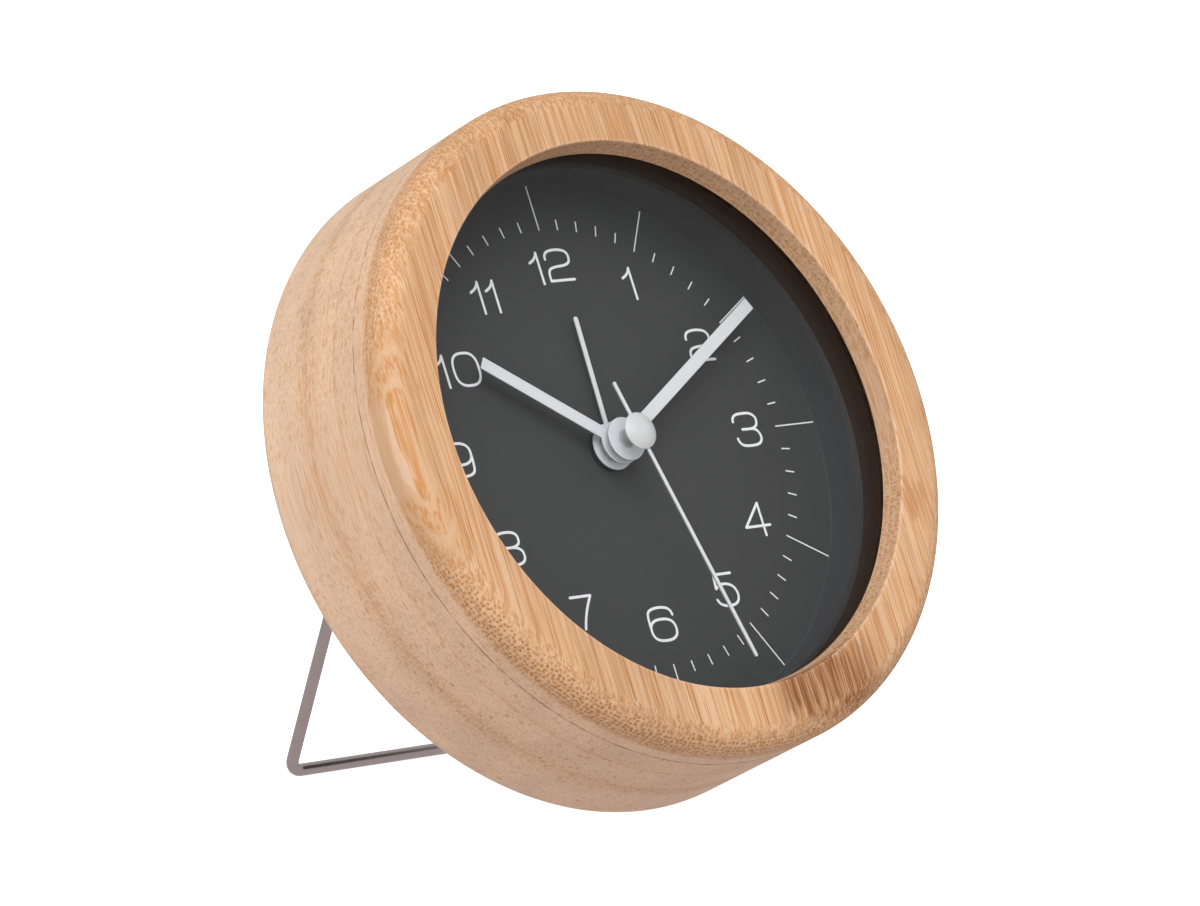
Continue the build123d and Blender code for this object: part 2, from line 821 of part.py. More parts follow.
# Motion work: the minute wheel carries the cannon pinion and the minute tube
cannon_module = pair_module(motion_distance, cannon_teeth, motion_teeth)
hour_module = pair_module(motion_distance, motion_pinion_teeth, hour_teeth)
alarm_module = pair_module(alarm_distance, alarm_teeth, alarm_pinion_teeth)
motion_turn = meshed_turn(centre, cannon_teeth, 0, motion_place, motion_teeth)
hour_turn = meshed_turn(motion_place, motion_pinion_teeth, 0, centre, hour_teeth)
time_turn = meshed_turn(motion_place, motion_teeth, motion_turn, time_place, time_pinion_teeth)
alarm_turn = meshed_turn(centre, alarm_teeth, 0, alarm_place, alarm_pinion_teeth)

with BuildPart() as minute_wheel:
    low = minute_wheel_level
    high = low + wheel_thickness
    toothed(centre, low, high, minute_teeth, minute_module, minute_turn)
    toothed(centre, high, motion_wheel_level + pinion_lift, cannon_teeth, cannon_module, 0)
    disc(centre, low, minute_tube_top, minute_tube_outer)
    disc(centre, low, minute_tube_top, minute_tube_inner, Mode.SUBTRACT)

with BuildPart() as motion_wheel:
    low = motion_wheel_level
    high = low + wheel_thickness
    toothed(motion_place, low, high, motion_teeth, cannon_module, motion_turn)
    toothed(motion_place, high, hour_wheel_level + pinion_lift, motion_pinion_teeth, hour_module, 0)
    disc(motion_place, arbor_rear, arbor_front, arbor_radius)

with BuildPart() as hour_wheel:
    low = hour_wheel_level
    toothed(centre, low, low + wheel_thickness, hour_teeth, hour_module, hour_turn)
    disc(centre, low, hour_tube_top, hour_tube_outer)
    disc(centre, low, hour_tube_top, hour_tube_inner, Mode.SUBTRACT)

with BuildPart() as alarm_wheel:
    low = alarm_wheel_level
    toothed(centre, low, low + wheel_thickness, alarm_teeth, alarm_module, 0)
    disc(centre, low, alarm_tube_top, alarm_tube_outer)
    disc(centre, low, alarm_tube_top, alarm_tube_inner, Mode.SUBTRACT)


# Fluted knob on a shaft that runs through the floor to its pinion
def setting_knob(place, wheel_level, teeth, module, turn):
    knob_high = cover_outer - knob_gap
    knob_low = knob_high - knob_height
    with BuildSketch(spot(place, knob_low)) as head:
        Circle(knob_radius)
        with PolarLocations(knob_radius, knob_flute_count):
            Circle(knob_flute_radius, mode=Mode.SUBTRACT)
    extrude(head.sketch, amount=knob_height)
    disc(place, knob_high, wheel_level - mesh_overlap, shaft_radius)
    toothed(place, wheel_level - mesh_overlap, wheel_level + pinion_lift, teeth, module, turn)
    disc(place, wheel_level, arbor_front, arbor_radius)


with BuildPart() as time_knob:
    setting_knob(time_place, motion_wheel_level, time_pinion_teeth, cannon_module, time_turn)

with BuildPart() as alarm_knob:
    setting_knob(alarm_place, alarm_wheel_level, alarm_pinion_teeth, alarm_module, alarm_turn)

# Alarm switch: base inside the housing, stem through the slot, grip outside
grip_high = cover_outer - switch_gap
base_low = floor_inner + switch_gap
with BuildPart() as alarm_switch:
    for width, height, low, high in (
        (switch_base_width, switch_base_height, base_low, base_low + switch_base_depth),
        (switch_stem_width, switch_stem_height, grip_high, base_low),
        (switch_grip_width, switch_grip_height, grip_high - switch_grip_depth, grip_high),
    ):
        slab(
            switch_column - width / 2,
            switch_column + width / 2,
            switch_row - height / 2,
            switch_row + height / 2,
            low,
            high,
        )

# Battery lying across the bay, its nub towards the viewer's right
battery_middle = (battery_row, battery_level)
with BuildPart() as battery:
    with BuildSketch(side_plane(-battery_length / 2)) as can_outline:
        with Locations(battery_middle):
            Circle(battery_radius)
    extrude(can_outline.sketch, amount=battery_length - nub_length)
    with BuildSketch(side_plane(battery_length / 2 - nub_length)) as nub_outline:
        with Locations(battery_middle):
            Circle(nub_radius)
    extrude(nub_outline.sketch, amount=nub_length)


# Sprung contact: a flat plate on the bay's end wall with a raised cone towards the battery
def battery_contact(side):
    wall = side * bay_half_length
    with BuildSketch(side_plane(wall)) as plate:
        with Locations(battery_middle):
            Rectangle(contact_width, contact_width)
    extrude(plate.sketch, amount=-side * contact_thickness)
    cone_start = wall - side * contact_thickness
    cone_end = side * (battery_length / 2 + running_fit)
    with BuildSketch(side_plane(cone_start)) as cone_base:
        with Locations(battery_middle):
            Circle(contact_base)
    with BuildSketch(side_plane(cone_end)) as cone_tip:
        with Locations(battery_middle):
            Circle(contact_tip)
    loft([cone_base.sketch.face(), cone_tip.sketch.face()])


with BuildPart() as contact_minus:
    battery_contact(-1)

with BuildPart() as contact_plus:
    battery_contact(1)

# Battery door with a thumb hollow near its upper edge
door_half_length = bay_half_length + door_ledge - door_gap
door_top = bay_top + door_ledge - door_gap
with BuildPart() as battery_door:
    slab(
        -door_half_length,
        door_half_length,
        bay_bottom - door_ledge + door_gap,
        door_top,
        cover_outer,
        door_inner,
    )
    disc((0, door_top), cover_outer, cover_outer + grip_depth, grip_radius, Mode.SUBTRACT)


# Blade of a hand with its disc, and the collar that grips the tube
def hand(level, angle, length, width, tip_round, disc_radius, tube_radius, collar_low):
    with BuildSketch(hand_plane(level, angle)) as blade:
        with Locations((0, length / 2)):
            Rectangle(width, length)
        if tip_round:
            fillet(blade.vertices().group_by(Axis.Y)[-1], width * tip_round_share)
        Circle(disc_radius)
    extrude(blade.sketch, amount=hand_thickness)
    disc(centre, collar_low, level, tube_radius + collar_wall)
    disc(centre, collar_low, level + hand_thickness, tube_radius + hand_fit, Mode.SUBTRACT)


with BuildPart() as alarm_hand:
    hand(
        alarm_hand_level,
        alarm_angle,
        dial_reach * alarm_reach_share,
        alarm_hand_width,
        True,
        alarm_disc_radius,
        alarm_tube_outer,
        bush_proud + collar_gap,
    )

with BuildPart() as hour_hand:
    hand(
        hour_hand_level,
        hour_angle,
        dial_reach * hour_reach_share,
        hour_hand_width,
        False,
        hand_disc_radius,
        hour_tube_outer,
        alarm_tube_top + collar_gap,
    )

with BuildPart() as minute_hand:
    hand(
        minute_hand_level,
        minute_angle,
        dial_reach * minute_reach_share,
        minute_hand_width,
        False,
        hand_disc_radius,
        minute_tube_outer,
        hour_tube_top + collar_gap,
    )

# Second hand: needle with a counterpoise tail on a socket that grips the seconds shaft
with BuildPart() as second_hand:
    with BuildSketch(hand_plane(second_hand_level, second_angle)) as needle:
        with Locations((0, dial_reach * (second_reach_share - second_tail_share) / 2)):
            Rectangle(second_hand_width, dial_reach * (second_reach_share + second_tail_share))
        fillet(needle.vertices(), second_hand_width * tip_round_share)
        Circle(second_socket_radius)
    extrude(needle.sketch, amount=hand_thickness)
    socket_low = minute_tube_top + collar_gap
    disc(centre, socket_low, second_hand_level, second_socket_radius)
    disc(centre, socket_low, second_shaft_top, second_shaft_radius + hand_fit, Mode.SUBTRACT)

cap_low = second_hand_level + hand_thickness
with BuildPart() as hub_cap:
    with BuildSketch(section):
        with BuildLine():
            cap_edge_run = Line((cap_radius, cap_low), (cap_radius, cap_low + cap_edge))
            TangentArc((0, cap_low + cap_height), cap_edge_run @ 1, tangent=(1, 0))
            Polyline((0, cap_low + cap_height), (0, cap_low), cap_edge_run @ 0)
        make_face()
    revolve(axis=dial_axis)

pieces = {
    "front_ring": front_ring,
    "case_body": case_body,
    "lens": lens,
    "spacer_ring": spacer_ring,
    "dial": dial,
    "dial_plate": dial_plate,
    "rear_cover": rear_cover,
    "cover_screws": cover_screws,
    "stand": stand,
    "movement_front": movement_front,
    "movement_housing": movement_housing,
    "movement_screws": movement_screws,
    "rotor": rotor,
    "stator": stator,
    "coil_bobbin": coil_bobbin,
    "coil_winding": coil_winding,
    "circuit_board": circuit_board,
    "quartz_crystal": quartz_crystal,
    "circuit_chip": circuit_chip,
    "buzzer": buzzer,
    "intermediate_wheel": intermediate_wheel,
    "seconds_wheel": seconds_wheel,
    "third_wheel": third_wheel,
    "minute_wheel": minute_wheel,
    "motion_wheel": motion_wheel,
    "hour_wheel": hour_wheel,
    "alarm_wheel": alarm_wheel,
    "time_knob": time_knob,
    "alarm_knob": alarm_knob,
    "alarm_switch": alarm_switch,
    "battery": battery,
    "contact_minus": contact_minus,
    "contact_plus": contact_plus,
    "battery_door": battery_door,
    "alarm_hand": alarm_hand,
    "hour_hand": hour_hand,
    "minute_hand": minute_hand,
    "second_hand": second_hand,
    "hub_cap": hub_cap,
}
for name, piece in pieces.items():
    piece.part.label = name
    export_step(piece.part, f"parts/{name}.step")
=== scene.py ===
from math import cos, pi, radians, sin, tau

import bmesh
import bpy
from mathutils import Matrix, Vector


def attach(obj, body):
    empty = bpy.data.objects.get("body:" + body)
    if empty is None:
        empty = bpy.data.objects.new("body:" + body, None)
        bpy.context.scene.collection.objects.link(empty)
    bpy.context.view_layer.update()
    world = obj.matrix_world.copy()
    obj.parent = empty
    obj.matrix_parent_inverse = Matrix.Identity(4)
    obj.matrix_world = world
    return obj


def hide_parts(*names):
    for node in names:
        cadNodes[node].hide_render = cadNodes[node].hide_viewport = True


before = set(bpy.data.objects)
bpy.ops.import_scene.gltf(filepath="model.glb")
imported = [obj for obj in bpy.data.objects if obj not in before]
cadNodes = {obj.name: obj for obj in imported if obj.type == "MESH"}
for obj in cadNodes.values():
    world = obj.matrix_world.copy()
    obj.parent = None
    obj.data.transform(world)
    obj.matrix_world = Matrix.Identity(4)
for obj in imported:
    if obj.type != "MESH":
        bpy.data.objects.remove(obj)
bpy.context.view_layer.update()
scene = bpy.context.scene
print("frame loaded,", len(cadNodes), "CAD nodes")

# The dial's own frame: millimetres, x right, y up the dial, z out towards the viewer
dialFrame = {"lean": 26.0, "middle": (0.0, -6.262627, 63.748441)}
leanTurn = pi / 2 - radians(dialFrame["lean"])
dialMiddle = Vector(dialFrame["middle"]) / 1000
toRow = Matrix.Translation(dialMiddle) @ Matrix.Rotation(leanTurn, 4, "X") @ Matrix.Scale(0.001, 4)
toDial = toRow.inverted()
mmToRow = Matrix.Scale(0.001, 4)


def dialBox(node):
    spots = [toDial @ vertex.co for vertex in cadNodes[node].data.vertices]
    low = Vector([min(spot[axis] for spot in spots) for axis in range(3)])
    high = Vector([max(spot[axis] for spot in spots) for axis in range(3)])
    return low, high


# Shader helpers
def tint(red, green, blue):
    parts = []
    for part in (red, green, blue):
        share = part / 255
        parts.append(share / 12.92 if share <= 0.04045 else ((share + 0.055) / 1.055) ** 2.4)
    return (*parts, 1.0)


def addNode(tree, kind, inputs=None, **settings):
    made = tree.nodes.new(kind)
    for key, value in settings.items():
        setattr(made, key, value)
    for key, value in (inputs or {}).items():
        if isinstance(value, bpy.types.NodeSocket):
            tree.links.new(value, made.inputs[key])
        else:
            made.inputs[key].default_value = value
    return made


def calc(tree, operation, first, second=0.0, third=0.0, clamp=False):
    inputs = {0: first, 1: second, 2: third}
    return addNode(tree, "ShaderNodeMath", inputs, operation=operation, use_clamp=clamp).outputs[0]


def fade(tree, value, start, end, low=0.0, high=1.0, style="SMOOTHSTEP"):
    inputs = {"Value": value, "From Min": start, "From Max": end, "To Min": low, "To Max": high}
    return addNode(tree, "ShaderNodeMapRange", inputs, interpolation_type=style).outputs[0]


def blendColour(tree, share, first, second, style="MIX"):
    inputs = {0: share, 6: first, 7: second}
    return addNode(tree, "ShaderNodeMix", inputs, data_type="RGBA", blend_type=style).outputs[2]


def stretch(tree, vector, factors):
    inputs = {0: vector, 1: factors}
    return addNode(tree, "ShaderNodeVectorMath", inputs, operation="MULTIPLY").outputs[0]


def cloud(tree, vector, scale, detail=2.0, rough=0.5):
    inputs = {"Vector": vector, "Scale": scale, "Detail": detail, "Roughness": rough}
    return addNode(tree, "ShaderNodeTexNoise", inputs)


def parts(tree, vector):
    return addNode(tree, "ShaderNodeSeparateXYZ", {0: vector}).outputs


def newGroup(name, inputs, outputs):
    tree = bpy.data.node_groups.new(name, "ShaderNodeTree")
    for label, kind, value in inputs:
        socket = tree.interface.new_socket(name=label, in_out="INPUT", socket_type=kind)
        socket.default_value = value
    for label, kind in outputs:
        tree.interface.new_socket(name=label, in_out="OUTPUT", socket_type=kind)
    return tree, tree.nodes.new("NodeGroupInput").outputs, tree.nodes.new("NodeGroupOutput").inputs


def useGroup(tree, group, inputs=None):
    made = tree.nodes.new("ShaderNodeGroup")
    made.node_tree = group
    for key, value in (inputs or {}).items():
        if isinstance(value, bpy.types.NodeSocket):
            tree.links.new(value, made.inputs[key])
        else:
            made.inputs[key].default_value = value
    return made.outputs


def newFinish(name, inputs=None):
    finish = bpy.data.materials.new(name)
    finish.use_nodes = True
    tree = finish.node_tree
    surface = tree.nodes["Principled BSDF"]
    for key, value in (inputs or {}).items():
        surface.inputs[key].default_value = value
    return finish, tree, surface


def bump(tree, height, distance, strength=1.0):
    inputs = {"Height": height, "Distance": distance, "Strength": strength}
    return addNode(tree, "ShaderNodeBump", inputs).outputs[0]


# Group: a point of the piece in the dial's millimetres
placeGroup, placeIn, placeOut = newGroup("dialPlace", [], [("Place", "NodeSocketVector")])
coordinates = placeGroup.nodes.new("ShaderNodeTexCoord").outputs["Object"]
mapped = addNode(placeGroup, "ShaderNodeMapping", {
    "Vector": coordinates, "Location": dialMiddle, "Rotation": (leanTurn, 0, 0), "Scale": (0.001,) * 3,
}, vector_type="TEXTURE")
placeGroup.links.new(mapped.outputs[0], placeOut["Place"])

# Group: bamboo in the round, fibres along the dial's y, bundles seen as dots on end grain
bambooGrain = {
    "wander": 0.7, "bundleScale": 1.0, "fineScale": 2.4, "drift": 0.006, "fineDrift": 0.10,
    "stripWidth": 19.0, "stripStart": 1.5,
    "paleGround": tint(231, 198, 170), "warmGround": tint(212, 169, 130), "paleStreak": tint(219, 186, 153),
    "streakTan": tint(186, 130, 76), "fineTan": tint(206, 150, 96), "lineTan": tint(182, 116, 54),
    "bundleOrange": tint(190, 136, 82), "bundleBrown": tint(150, 96, 54),
}
bambooGroup, grainIn, grainOut = newGroup(
    "bambooGrain",
    [("Place", "NodeSocketVector", (0, 0, 0)), ("Density", "NodeSocketFloat", 0.5),
     ("Layer", "NodeSocketFloat", 0.0), ("End", "NodeSocketFloat", 0.0)],
    [("Colour", "NodeSocketColor"), ("Rough", "NodeSocketFloat"), ("Height", "NodeSocketFloat")],
)


def fillBambooGrain(tree, grain):
    place, density, end = grainIn["Place"], grainIn["Density"], grainIn["End"]
    slow = cloud(tree, stretch(tree, place, (0.06, 0.02, 0.06)), 1.0, 2.0).outputs["Color"]
    centred = addNode(tree, "ShaderNodeVectorMath", {0: slow, 1: (0.5, 0.5, 0.5)}, operation="SUBTRACT").outputs[0]
    sway = stretch(tree, centred, (2 * grain["wander"], 0, 2 * grain["wander"]))
    bent = addNode(tree, "ShaderNodeVectorMath", {0: place, 1: sway}, operation="ADD").outputs[0]
    fibre = stretch(tree, bent, (1, grain["drift"], 1))
    short = stretch(tree, bent, (1, grain["fineDrift"], 1))
    bundle = addNode(tree, "ShaderNodeTexVoronoi", {"Vector": fibre, "Scale": grain["bundleScale"], "Randomness": 0.6})
    fine = addNode(tree, "ShaderNodeTexVoronoi", {"Vector": short, "Scale": grain["fineScale"], "Randomness": 0.9})
    chance = parts(tree, bundle.outputs["Color"])
    fineChance = parts(tree, fine.outputs["Color"])[0]
    off = bundle.outputs["Distance"]
    present = fade(tree, calc(tree, "ADD", chance[0], density), 0.85, 1.15)
    soft = calc(tree, "MULTIPLY", fade(tree, off, 0.30, 0.46, 1.0, 0.0), present)
    core = calc(tree, "MULTIPLY", fade(tree, off, 0.12, 0.27), soft)
    thin = calc(tree, "MULTIPLY", fade(tree, fine.outputs["Distance"], 0.16, 0.42, 1.0, 0.0), fade(tree, fineChance, 0.2, 0.7))
    # strips glued side by side, each of its own tone
    across = parts(tree, place)[0]
    strip = calc(tree, "FLOOR", calc(tree, "DIVIDE", calc(tree, "SUBTRACT", across, grain["stripStart"]), grain["stripWidth"]))
    key = addNode(tree, "ShaderNodeCombineXYZ", {0: strip, 1: grainIn["Layer"]}).outputs[0]
    stripTone = addNode(tree, "ShaderNodeTexWhiteNoise", {"Vector": key}, noise_dimensions="2D").outputs["Value"]
    broad = cloud(tree, stretch(tree, bent, (0.16, 0.006, 0.16)), 1.0, 2.0).outputs[0]
    streak = cloud(tree, stretch(tree, bent, (2.6, 0.010, 2.6)), 1.0, 3.0, 0.6).outputs[0]
    line = cloud(tree, stretch(tree, bent, (4.4, 0.030, 4.4)), 1.0, 2.0, 0.6).outputs[0]
    hair = cloud(tree, stretch(tree, bent, (5.0, 0.08, 5.0)), 1.0, 2.0).outputs[0]
    body = blendColour(tree, density, grain["paleGround"], grain["warmGround"])
    lightShare = calc(tree, "MULTIPLY", fade(tree, streak, 0.47, 0.37), fade(tree, density, 0.0, 1.0, 0.15, 0.55))
    body = blendColour(tree, lightShare, body, grain["paleStreak"])
    darkShare = calc(tree, "MULTIPLY", fade(tree, streak, 0.50, 0.62), fade(tree, density, 0.0, 1.0, 0.25, 0.60))
    body = blendColour(tree, darkShare, body, grain["streakTan"])
    lineShare = calc(tree, "MULTIPLY", fade(tree, line, 0.55, 0.62), fade(tree, density, 0.2, 1.0, 0.0, 0.85))
    body = blendColour(tree, lineShare, body, grain["lineTan"])
    fineShare = calc(tree, "MULTIPLY", thin, fade(tree, density, 0.0, 1.0, 0.7, 0.15))
    body = blendColour(tree, fineShare, body, grain["fineTan"])
    brown = blendColour(tree, chance[1], grain["bundleOrange"], grain["bundleBrown"])
    body = blendColour(tree, calc(tree, "MULTIPLY", soft, fade(tree, density, 0.0, 1.0, 0.15, 0.40)), body, grain["bundleOrange"])
    body = blendColour(tree, calc(tree, "MULTIPLY", core, fade(tree, end, 0.15, 0.6, 0.10, 0.30)), body, brown)
    tone = calc(tree, "ADD", fade(tree, broad, 0.3, 0.7, 0.94, 1.06, "LINEAR"), fade(tree, stripTone, 0, 1, -0.04, 0.04, "LINEAR"))
    tone = calc(tree, "ADD", tone, fade(tree, hair, 0.3, 0.7, -0.06, 0.06, "LINEAR"))
    shade = addNode(tree, "ShaderNodeCombineColor", {0: tone, 1: tone, 2: tone}).outputs[0]
    tree.links.new(blendColour(tree, 1.0, body, shade, "MULTIPLY"), grainOut["Colour"])
    tree.links.new(fade(tree, core, 0, 1, 0.52, 0.64), grainOut["Rough"])
    dip = calc(tree, "ADD", calc(tree, "MULTIPLY", soft, -0.25), calc(tree, "MULTIPLY", hair, 0.4))
    tree.links.new(calc(tree, "SUBTRACT", dip, calc(tree, "MULTIPLY", thin, 0.06)), grainOut["Height"])


fillBambooGrain(bambooGroup, bambooGrain)

# Group: open pores where the turned edge cuts across the fibres
poreSizes = {"radius": 62.5, "round": 4.6, "roundLevel": 15.2, "pitch": 0.92, "start": 13.6, "end": 20.2, "lip": 26.9,
             "rear": (-6.9, -2.2), "rearShare": 0.4}
poreGroup, poreIn, poreOut = newGroup(
    "edgePores",
    [("Place", "NodeSocketVector", (0, 0, 0)), ("End", "NodeSocketFloat", 0.0)],
    [("Pit", "NodeSocketFloat"), ("Wall", "NodeSocketFloat"), ("Chance", "NodeSocketFloat"), ("Rise", "NodeSocketFloat")],
)


def fillEdgePores(tree, size):
    across, along, level = parts(tree, poreIn["Place"])
    reach = calc(tree, "SQRT", calc(tree, "ADD", calc(tree, "MULTIPLY", across, across), calc(tree, "MULTIPLY", along, along)))
    around = calc(tree, "MULTIPLY", calc(tree, "ARCTAN2", along, calc(tree, "MULTIPLY", across, -1.0)), size["radius"])
    above = calc(tree, "MAXIMUM", calc(tree, "SUBTRACT", level, size["roundLevel"]), 0.0)
    beyond = calc(tree, "SUBTRACT", reach, size["radius"] - size["round"])
    turned = calc(tree, "MULTIPLY", calc(tree, "ARCTAN2", above, beyond), size["round"])
    rise = calc(tree, "ADD", calc(tree, "MINIMUM", level, size["roundLevel"]), turned)
    spot = addNode(tree, "ShaderNodeCombineXYZ", {0: around, 1: calc(tree, "MULTIPLY", rise, 1.15)}).outputs[0]
    cells = addNode(tree, "ShaderNodeTexVoronoi", {"Vector": spot, "Scale": 1 / size["pitch"], "Randomness": 0.55}, voronoi_dimensions="2D")
    ragged = cloud(tree, stretch(tree, poreIn["Place"], (0.35, 0.12, 0.35)), 1.0, 3.0).outputs[0]
    moved = calc(tree, "ADD", rise, fade(tree, ragged, 0.3, 0.7, -1.1, 1.1, "LINEAR"))
    band = calc(tree, "MULTIPLY", fade(tree, moved, size["start"], size["start"] + 0.9), fade(tree, moved, size["end"] - 1.6, size["end"], 1.0, 0.0))
    strength = calc(tree, "MULTIPLY", fade(tree, poreIn["End"], 0.12, 0.42), fade(tree, along, -12.0, 22.0, 1.0, 0.5))
    inLip = fade(tree, rise, size["lip"], size["lip"] + 0.3, 0.0, 0.65)
    rearStart, rearEnd = size["rear"]
    back = calc(tree, "MULTIPLY", fade(tree, moved, rearStart, rearStart + 1.2), fade(tree, moved, rearEnd - 1.2, rearEnd, 1.0, 0.0))
    band = calc(tree, "MULTIPLY_ADD", back, size["rearShare"], band)
    mask = calc(tree, "MULTIPLY", calc(tree, "ADD", band, inLip), strength)
    off = cells.outputs["Distance"]
    tree.links.new(calc(tree, "MULTIPLY", fade(tree, off, 0.16, 0.36, 1.0, 0.0), mask), poreOut["Pit"])
    tree.links.new(calc(tree, "MULTIPLY", fade(tree, off, 0.38, 0.55), mask), poreOut["Wall"])
    tree.links.new(parts(tree, cells.outputs["Color"])[0], poreOut["Chance"])
    tree.links.new(rise, poreOut["Rise"])


fillEdgePores(poreGroup, poreSizes)

# Group: skin of moulded plastic and painted sheet
skinGroup, skinIn, skinOut = newGroup(
    "mouldSkin",
    [("Colour", "NodeSocketColor", (0.5, 0.5, 0.5, 1)), ("Grain", "NodeSocketFloat", 2.5),
     ("Rough", "NodeSocketFloat", 0.5), ("Spread", "NodeSocketFloat", 0.1)],
    [("Colour", "NodeSocketColor"), ("Rough", "NodeSocketFloat"), ("Height", "NodeSocketFloat")],
)


def fillMouldSkin(tree):
    place = useGroup(tree, placeGroup)["Place"]
    sand = cloud(tree, place, skinIn["Grain"], 3.0).outputs[0]
    flow = cloud(tree, place, 0.12, 2.0).outputs[0]
    mixed = calc(tree, "ADD", calc(tree, "MULTIPLY", sand, 0.6), calc(tree, "MULTIPLY", flow, 0.4))
    swing = calc(tree, "MULTIPLY", calc(tree, "SUBTRACT", mixed, 0.5), skinIn["Spread"])
    tone = calc(tree, "ADD", calc(tree, "MULTIPLY", swing, 2.0), 1.0)
    shade = addNode(tree, "ShaderNodeCombineColor", {0: tone, 1: tone, 2: tone}).outputs[0]
    tree.links.new(blendColour(tree, 1.0, skinIn["Colour"], shade, "MULTIPLY"), skinOut["Colour"])
    tree.links.new(calc(tree, "ADD", skinIn["Rough"], swing), skinOut["Rough"])
    tree.links.new(sand, skinOut["Height"])


fillMouldSkin(skinGroup)

# Group: drawn or brushed metal, streaks along the axis that is stretched least
brushGroup, brushIn, brushOut = newGroup(
    "brushedMetal",
    [("Colour", "NodeSocketColor", (0.5, 0.5, 0.5, 1)), ("Stretch", "NodeSocketVector", (1, 1, 1)),
     ("Rough", "NodeSocketFloat", 0.35), ("Spread", "NodeSocketFloat", 0.2)],
    [("Colour", "NodeSocketColor"), ("Rough", "NodeSocketFloat"), ("Height", "NodeSocketFloat")],
)


def fillBrushedMetal(tree):
    place = useGroup(tree, placeGroup)["Place"]
    streak = cloud(tree, addNode(tree, "ShaderNodeVectorMath", {0: place, 1: brushIn["Stretch"]}, operation="MULTIPLY").outputs[0], 1.0, 3.0).outputs[0]
    stain = cloud(tree, place, 0.25, 3.0).outputs[0]
    mixed = calc(tree, "ADD", calc(tree, "MULTIPLY", streak, 0.6), calc(tree, "MULTIPLY", stain, 0.4))
    swing = calc(tree, "MULTIPLY", calc(tree, "SUBTRACT", mixed, 0.5), brushIn["Spread"])
    tone = calc(tree, "ADD", calc(tree, "MULTIPLY", swing, 2.0), 1.0)
    shade = addNode(tree, "ShaderNodeCombineColor", {0: tone, 1: tone, 2: tone}).outputs[0]
    tree.links.new(blendColour(tree, 1.0, brushIn["Colour"], shade, "MULTIPLY"), brushOut["Colour"])
    tree.links.new(calc(tree, "ADD", brushIn["Rough"], swing), brushOut["Rough"])
    tree.links.new(streak, brushOut["Height"])


fillBrushedMetal(brushGroup)


def plasticFinish(name, look):
    finish, tree, surface = newFinish(name)
    values = {key: look[key] for key in ("Colour", "Grain", "Rough", "Spread")}
    for axis, start, second in look.get("bands", ()):  # axis, where the next colour starts, next colour
        spot = parts(tree, useGroup(tree, placeGroup)["Place"])[axis]
        values["Colour"] = blendColour(tree, fade(tree, spot, start, start + 0.05), values["Colour"], second)
    if "edge" in look:  # colour of the side walls, which turn away from the dial's normal: the bare cut edge, darkened further as painted shade between the stacked discs
        facing = tree.nodes.new("ShaderNodeTexCoord").outputs["Normal"]
        outWay = (toRow.to_3x3() @ Vector((0, 0, 1))).normalized()
        flat = addNode(tree, "ShaderNodeVectorMath", {0: facing, 1: outWay}, operation="DOT_PRODUCT").outputs["Value"]
        values["Colour"] = blendColour(tree, fade(tree, calc(tree, "ABSOLUTE", flat), 0.3, 0.85), look["edge"], look["Colour"])
    skin = useGroup(tree, skinGroup, values)
    tree.links.new(skin["Colour"], surface.inputs["Base Color"])
    tree.links.new(skin["Rough"], surface.inputs["Roughness"])
    tree.links.new(bump(tree, skin["Height"], look["depth"]), surface.inputs["Normal"])
    return finish


def metalFinish(name, look):
    finish, tree, surface = newFinish(name, {"Metallic": 1.0})
    drawn = useGroup(tree, brushGroup, {key: look[key] for key in ("Colour", "Stretch", "Rough", "Spread")})
    tree.links.new(drawn["Colour"], surface.inputs["Base Color"])
    tree.links.new(drawn["Rough"], surface.inputs["Roughness"])
    tree.links.new(bump(tree, drawn["Height"], look["depth"]), surface.inputs["Normal"])
    return finish


print("shader groups ready")


# Mesh helpers
def toMesh(shape, place=toRow, sharp=30):
    mesh = bpy.data.meshes.new("shape")
    shape.to_mesh(mesh)
    shape.free()
    mesh.transform(place)
    mesh.shade_smooth()
    mesh.set_sharp_from_angle(angle=radians(sharp))
    return mesh


def asPiece(name, mesh, finish, body, replaced=()):
    mesh.name = name
    mesh.materials.clear()
    mesh.materials.append(finish)
    piece = bpy.data.objects.new(name, mesh)
    scene.collection.objects.link(piece)
    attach(piece, body)
    if replaced:
        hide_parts(*replaced)
    return piece


def arc(middle, radius, start, end, steps):
    spots = []
    for step in range(steps + 1):
        turn = radians(start + (end - start) * step / steps)
        spots.append((middle[0] + radius * cos(turn), middle[1] + radius * sin(turn)))
    return spots


def lathe(profile, segments, closed=True, sharp=30):
    shape = bmesh.new()
    rings = []
    for step in range(segments):
        turn = tau * step / segments
        rings.append([shape.verts.new((radius * cos(turn), radius * sin(turn), level)) for radius, level in profile])
    count = len(profile)
    for step in range(segments):
        here, there = rings[step], rings[(step + 1) % segments]
        for index in range(count if closed else count - 1):
            after = (index + 1) % count
            shape.faces.new((here[index], there[index], there[after], here[after]))
    bmesh.ops.remove_doubles(shape, verts=shape.verts, dist=1e-6)
    bmesh.ops.recalc_face_normals(shape, faces=shape.faces)
    return toMesh(shape, sharp=sharp)


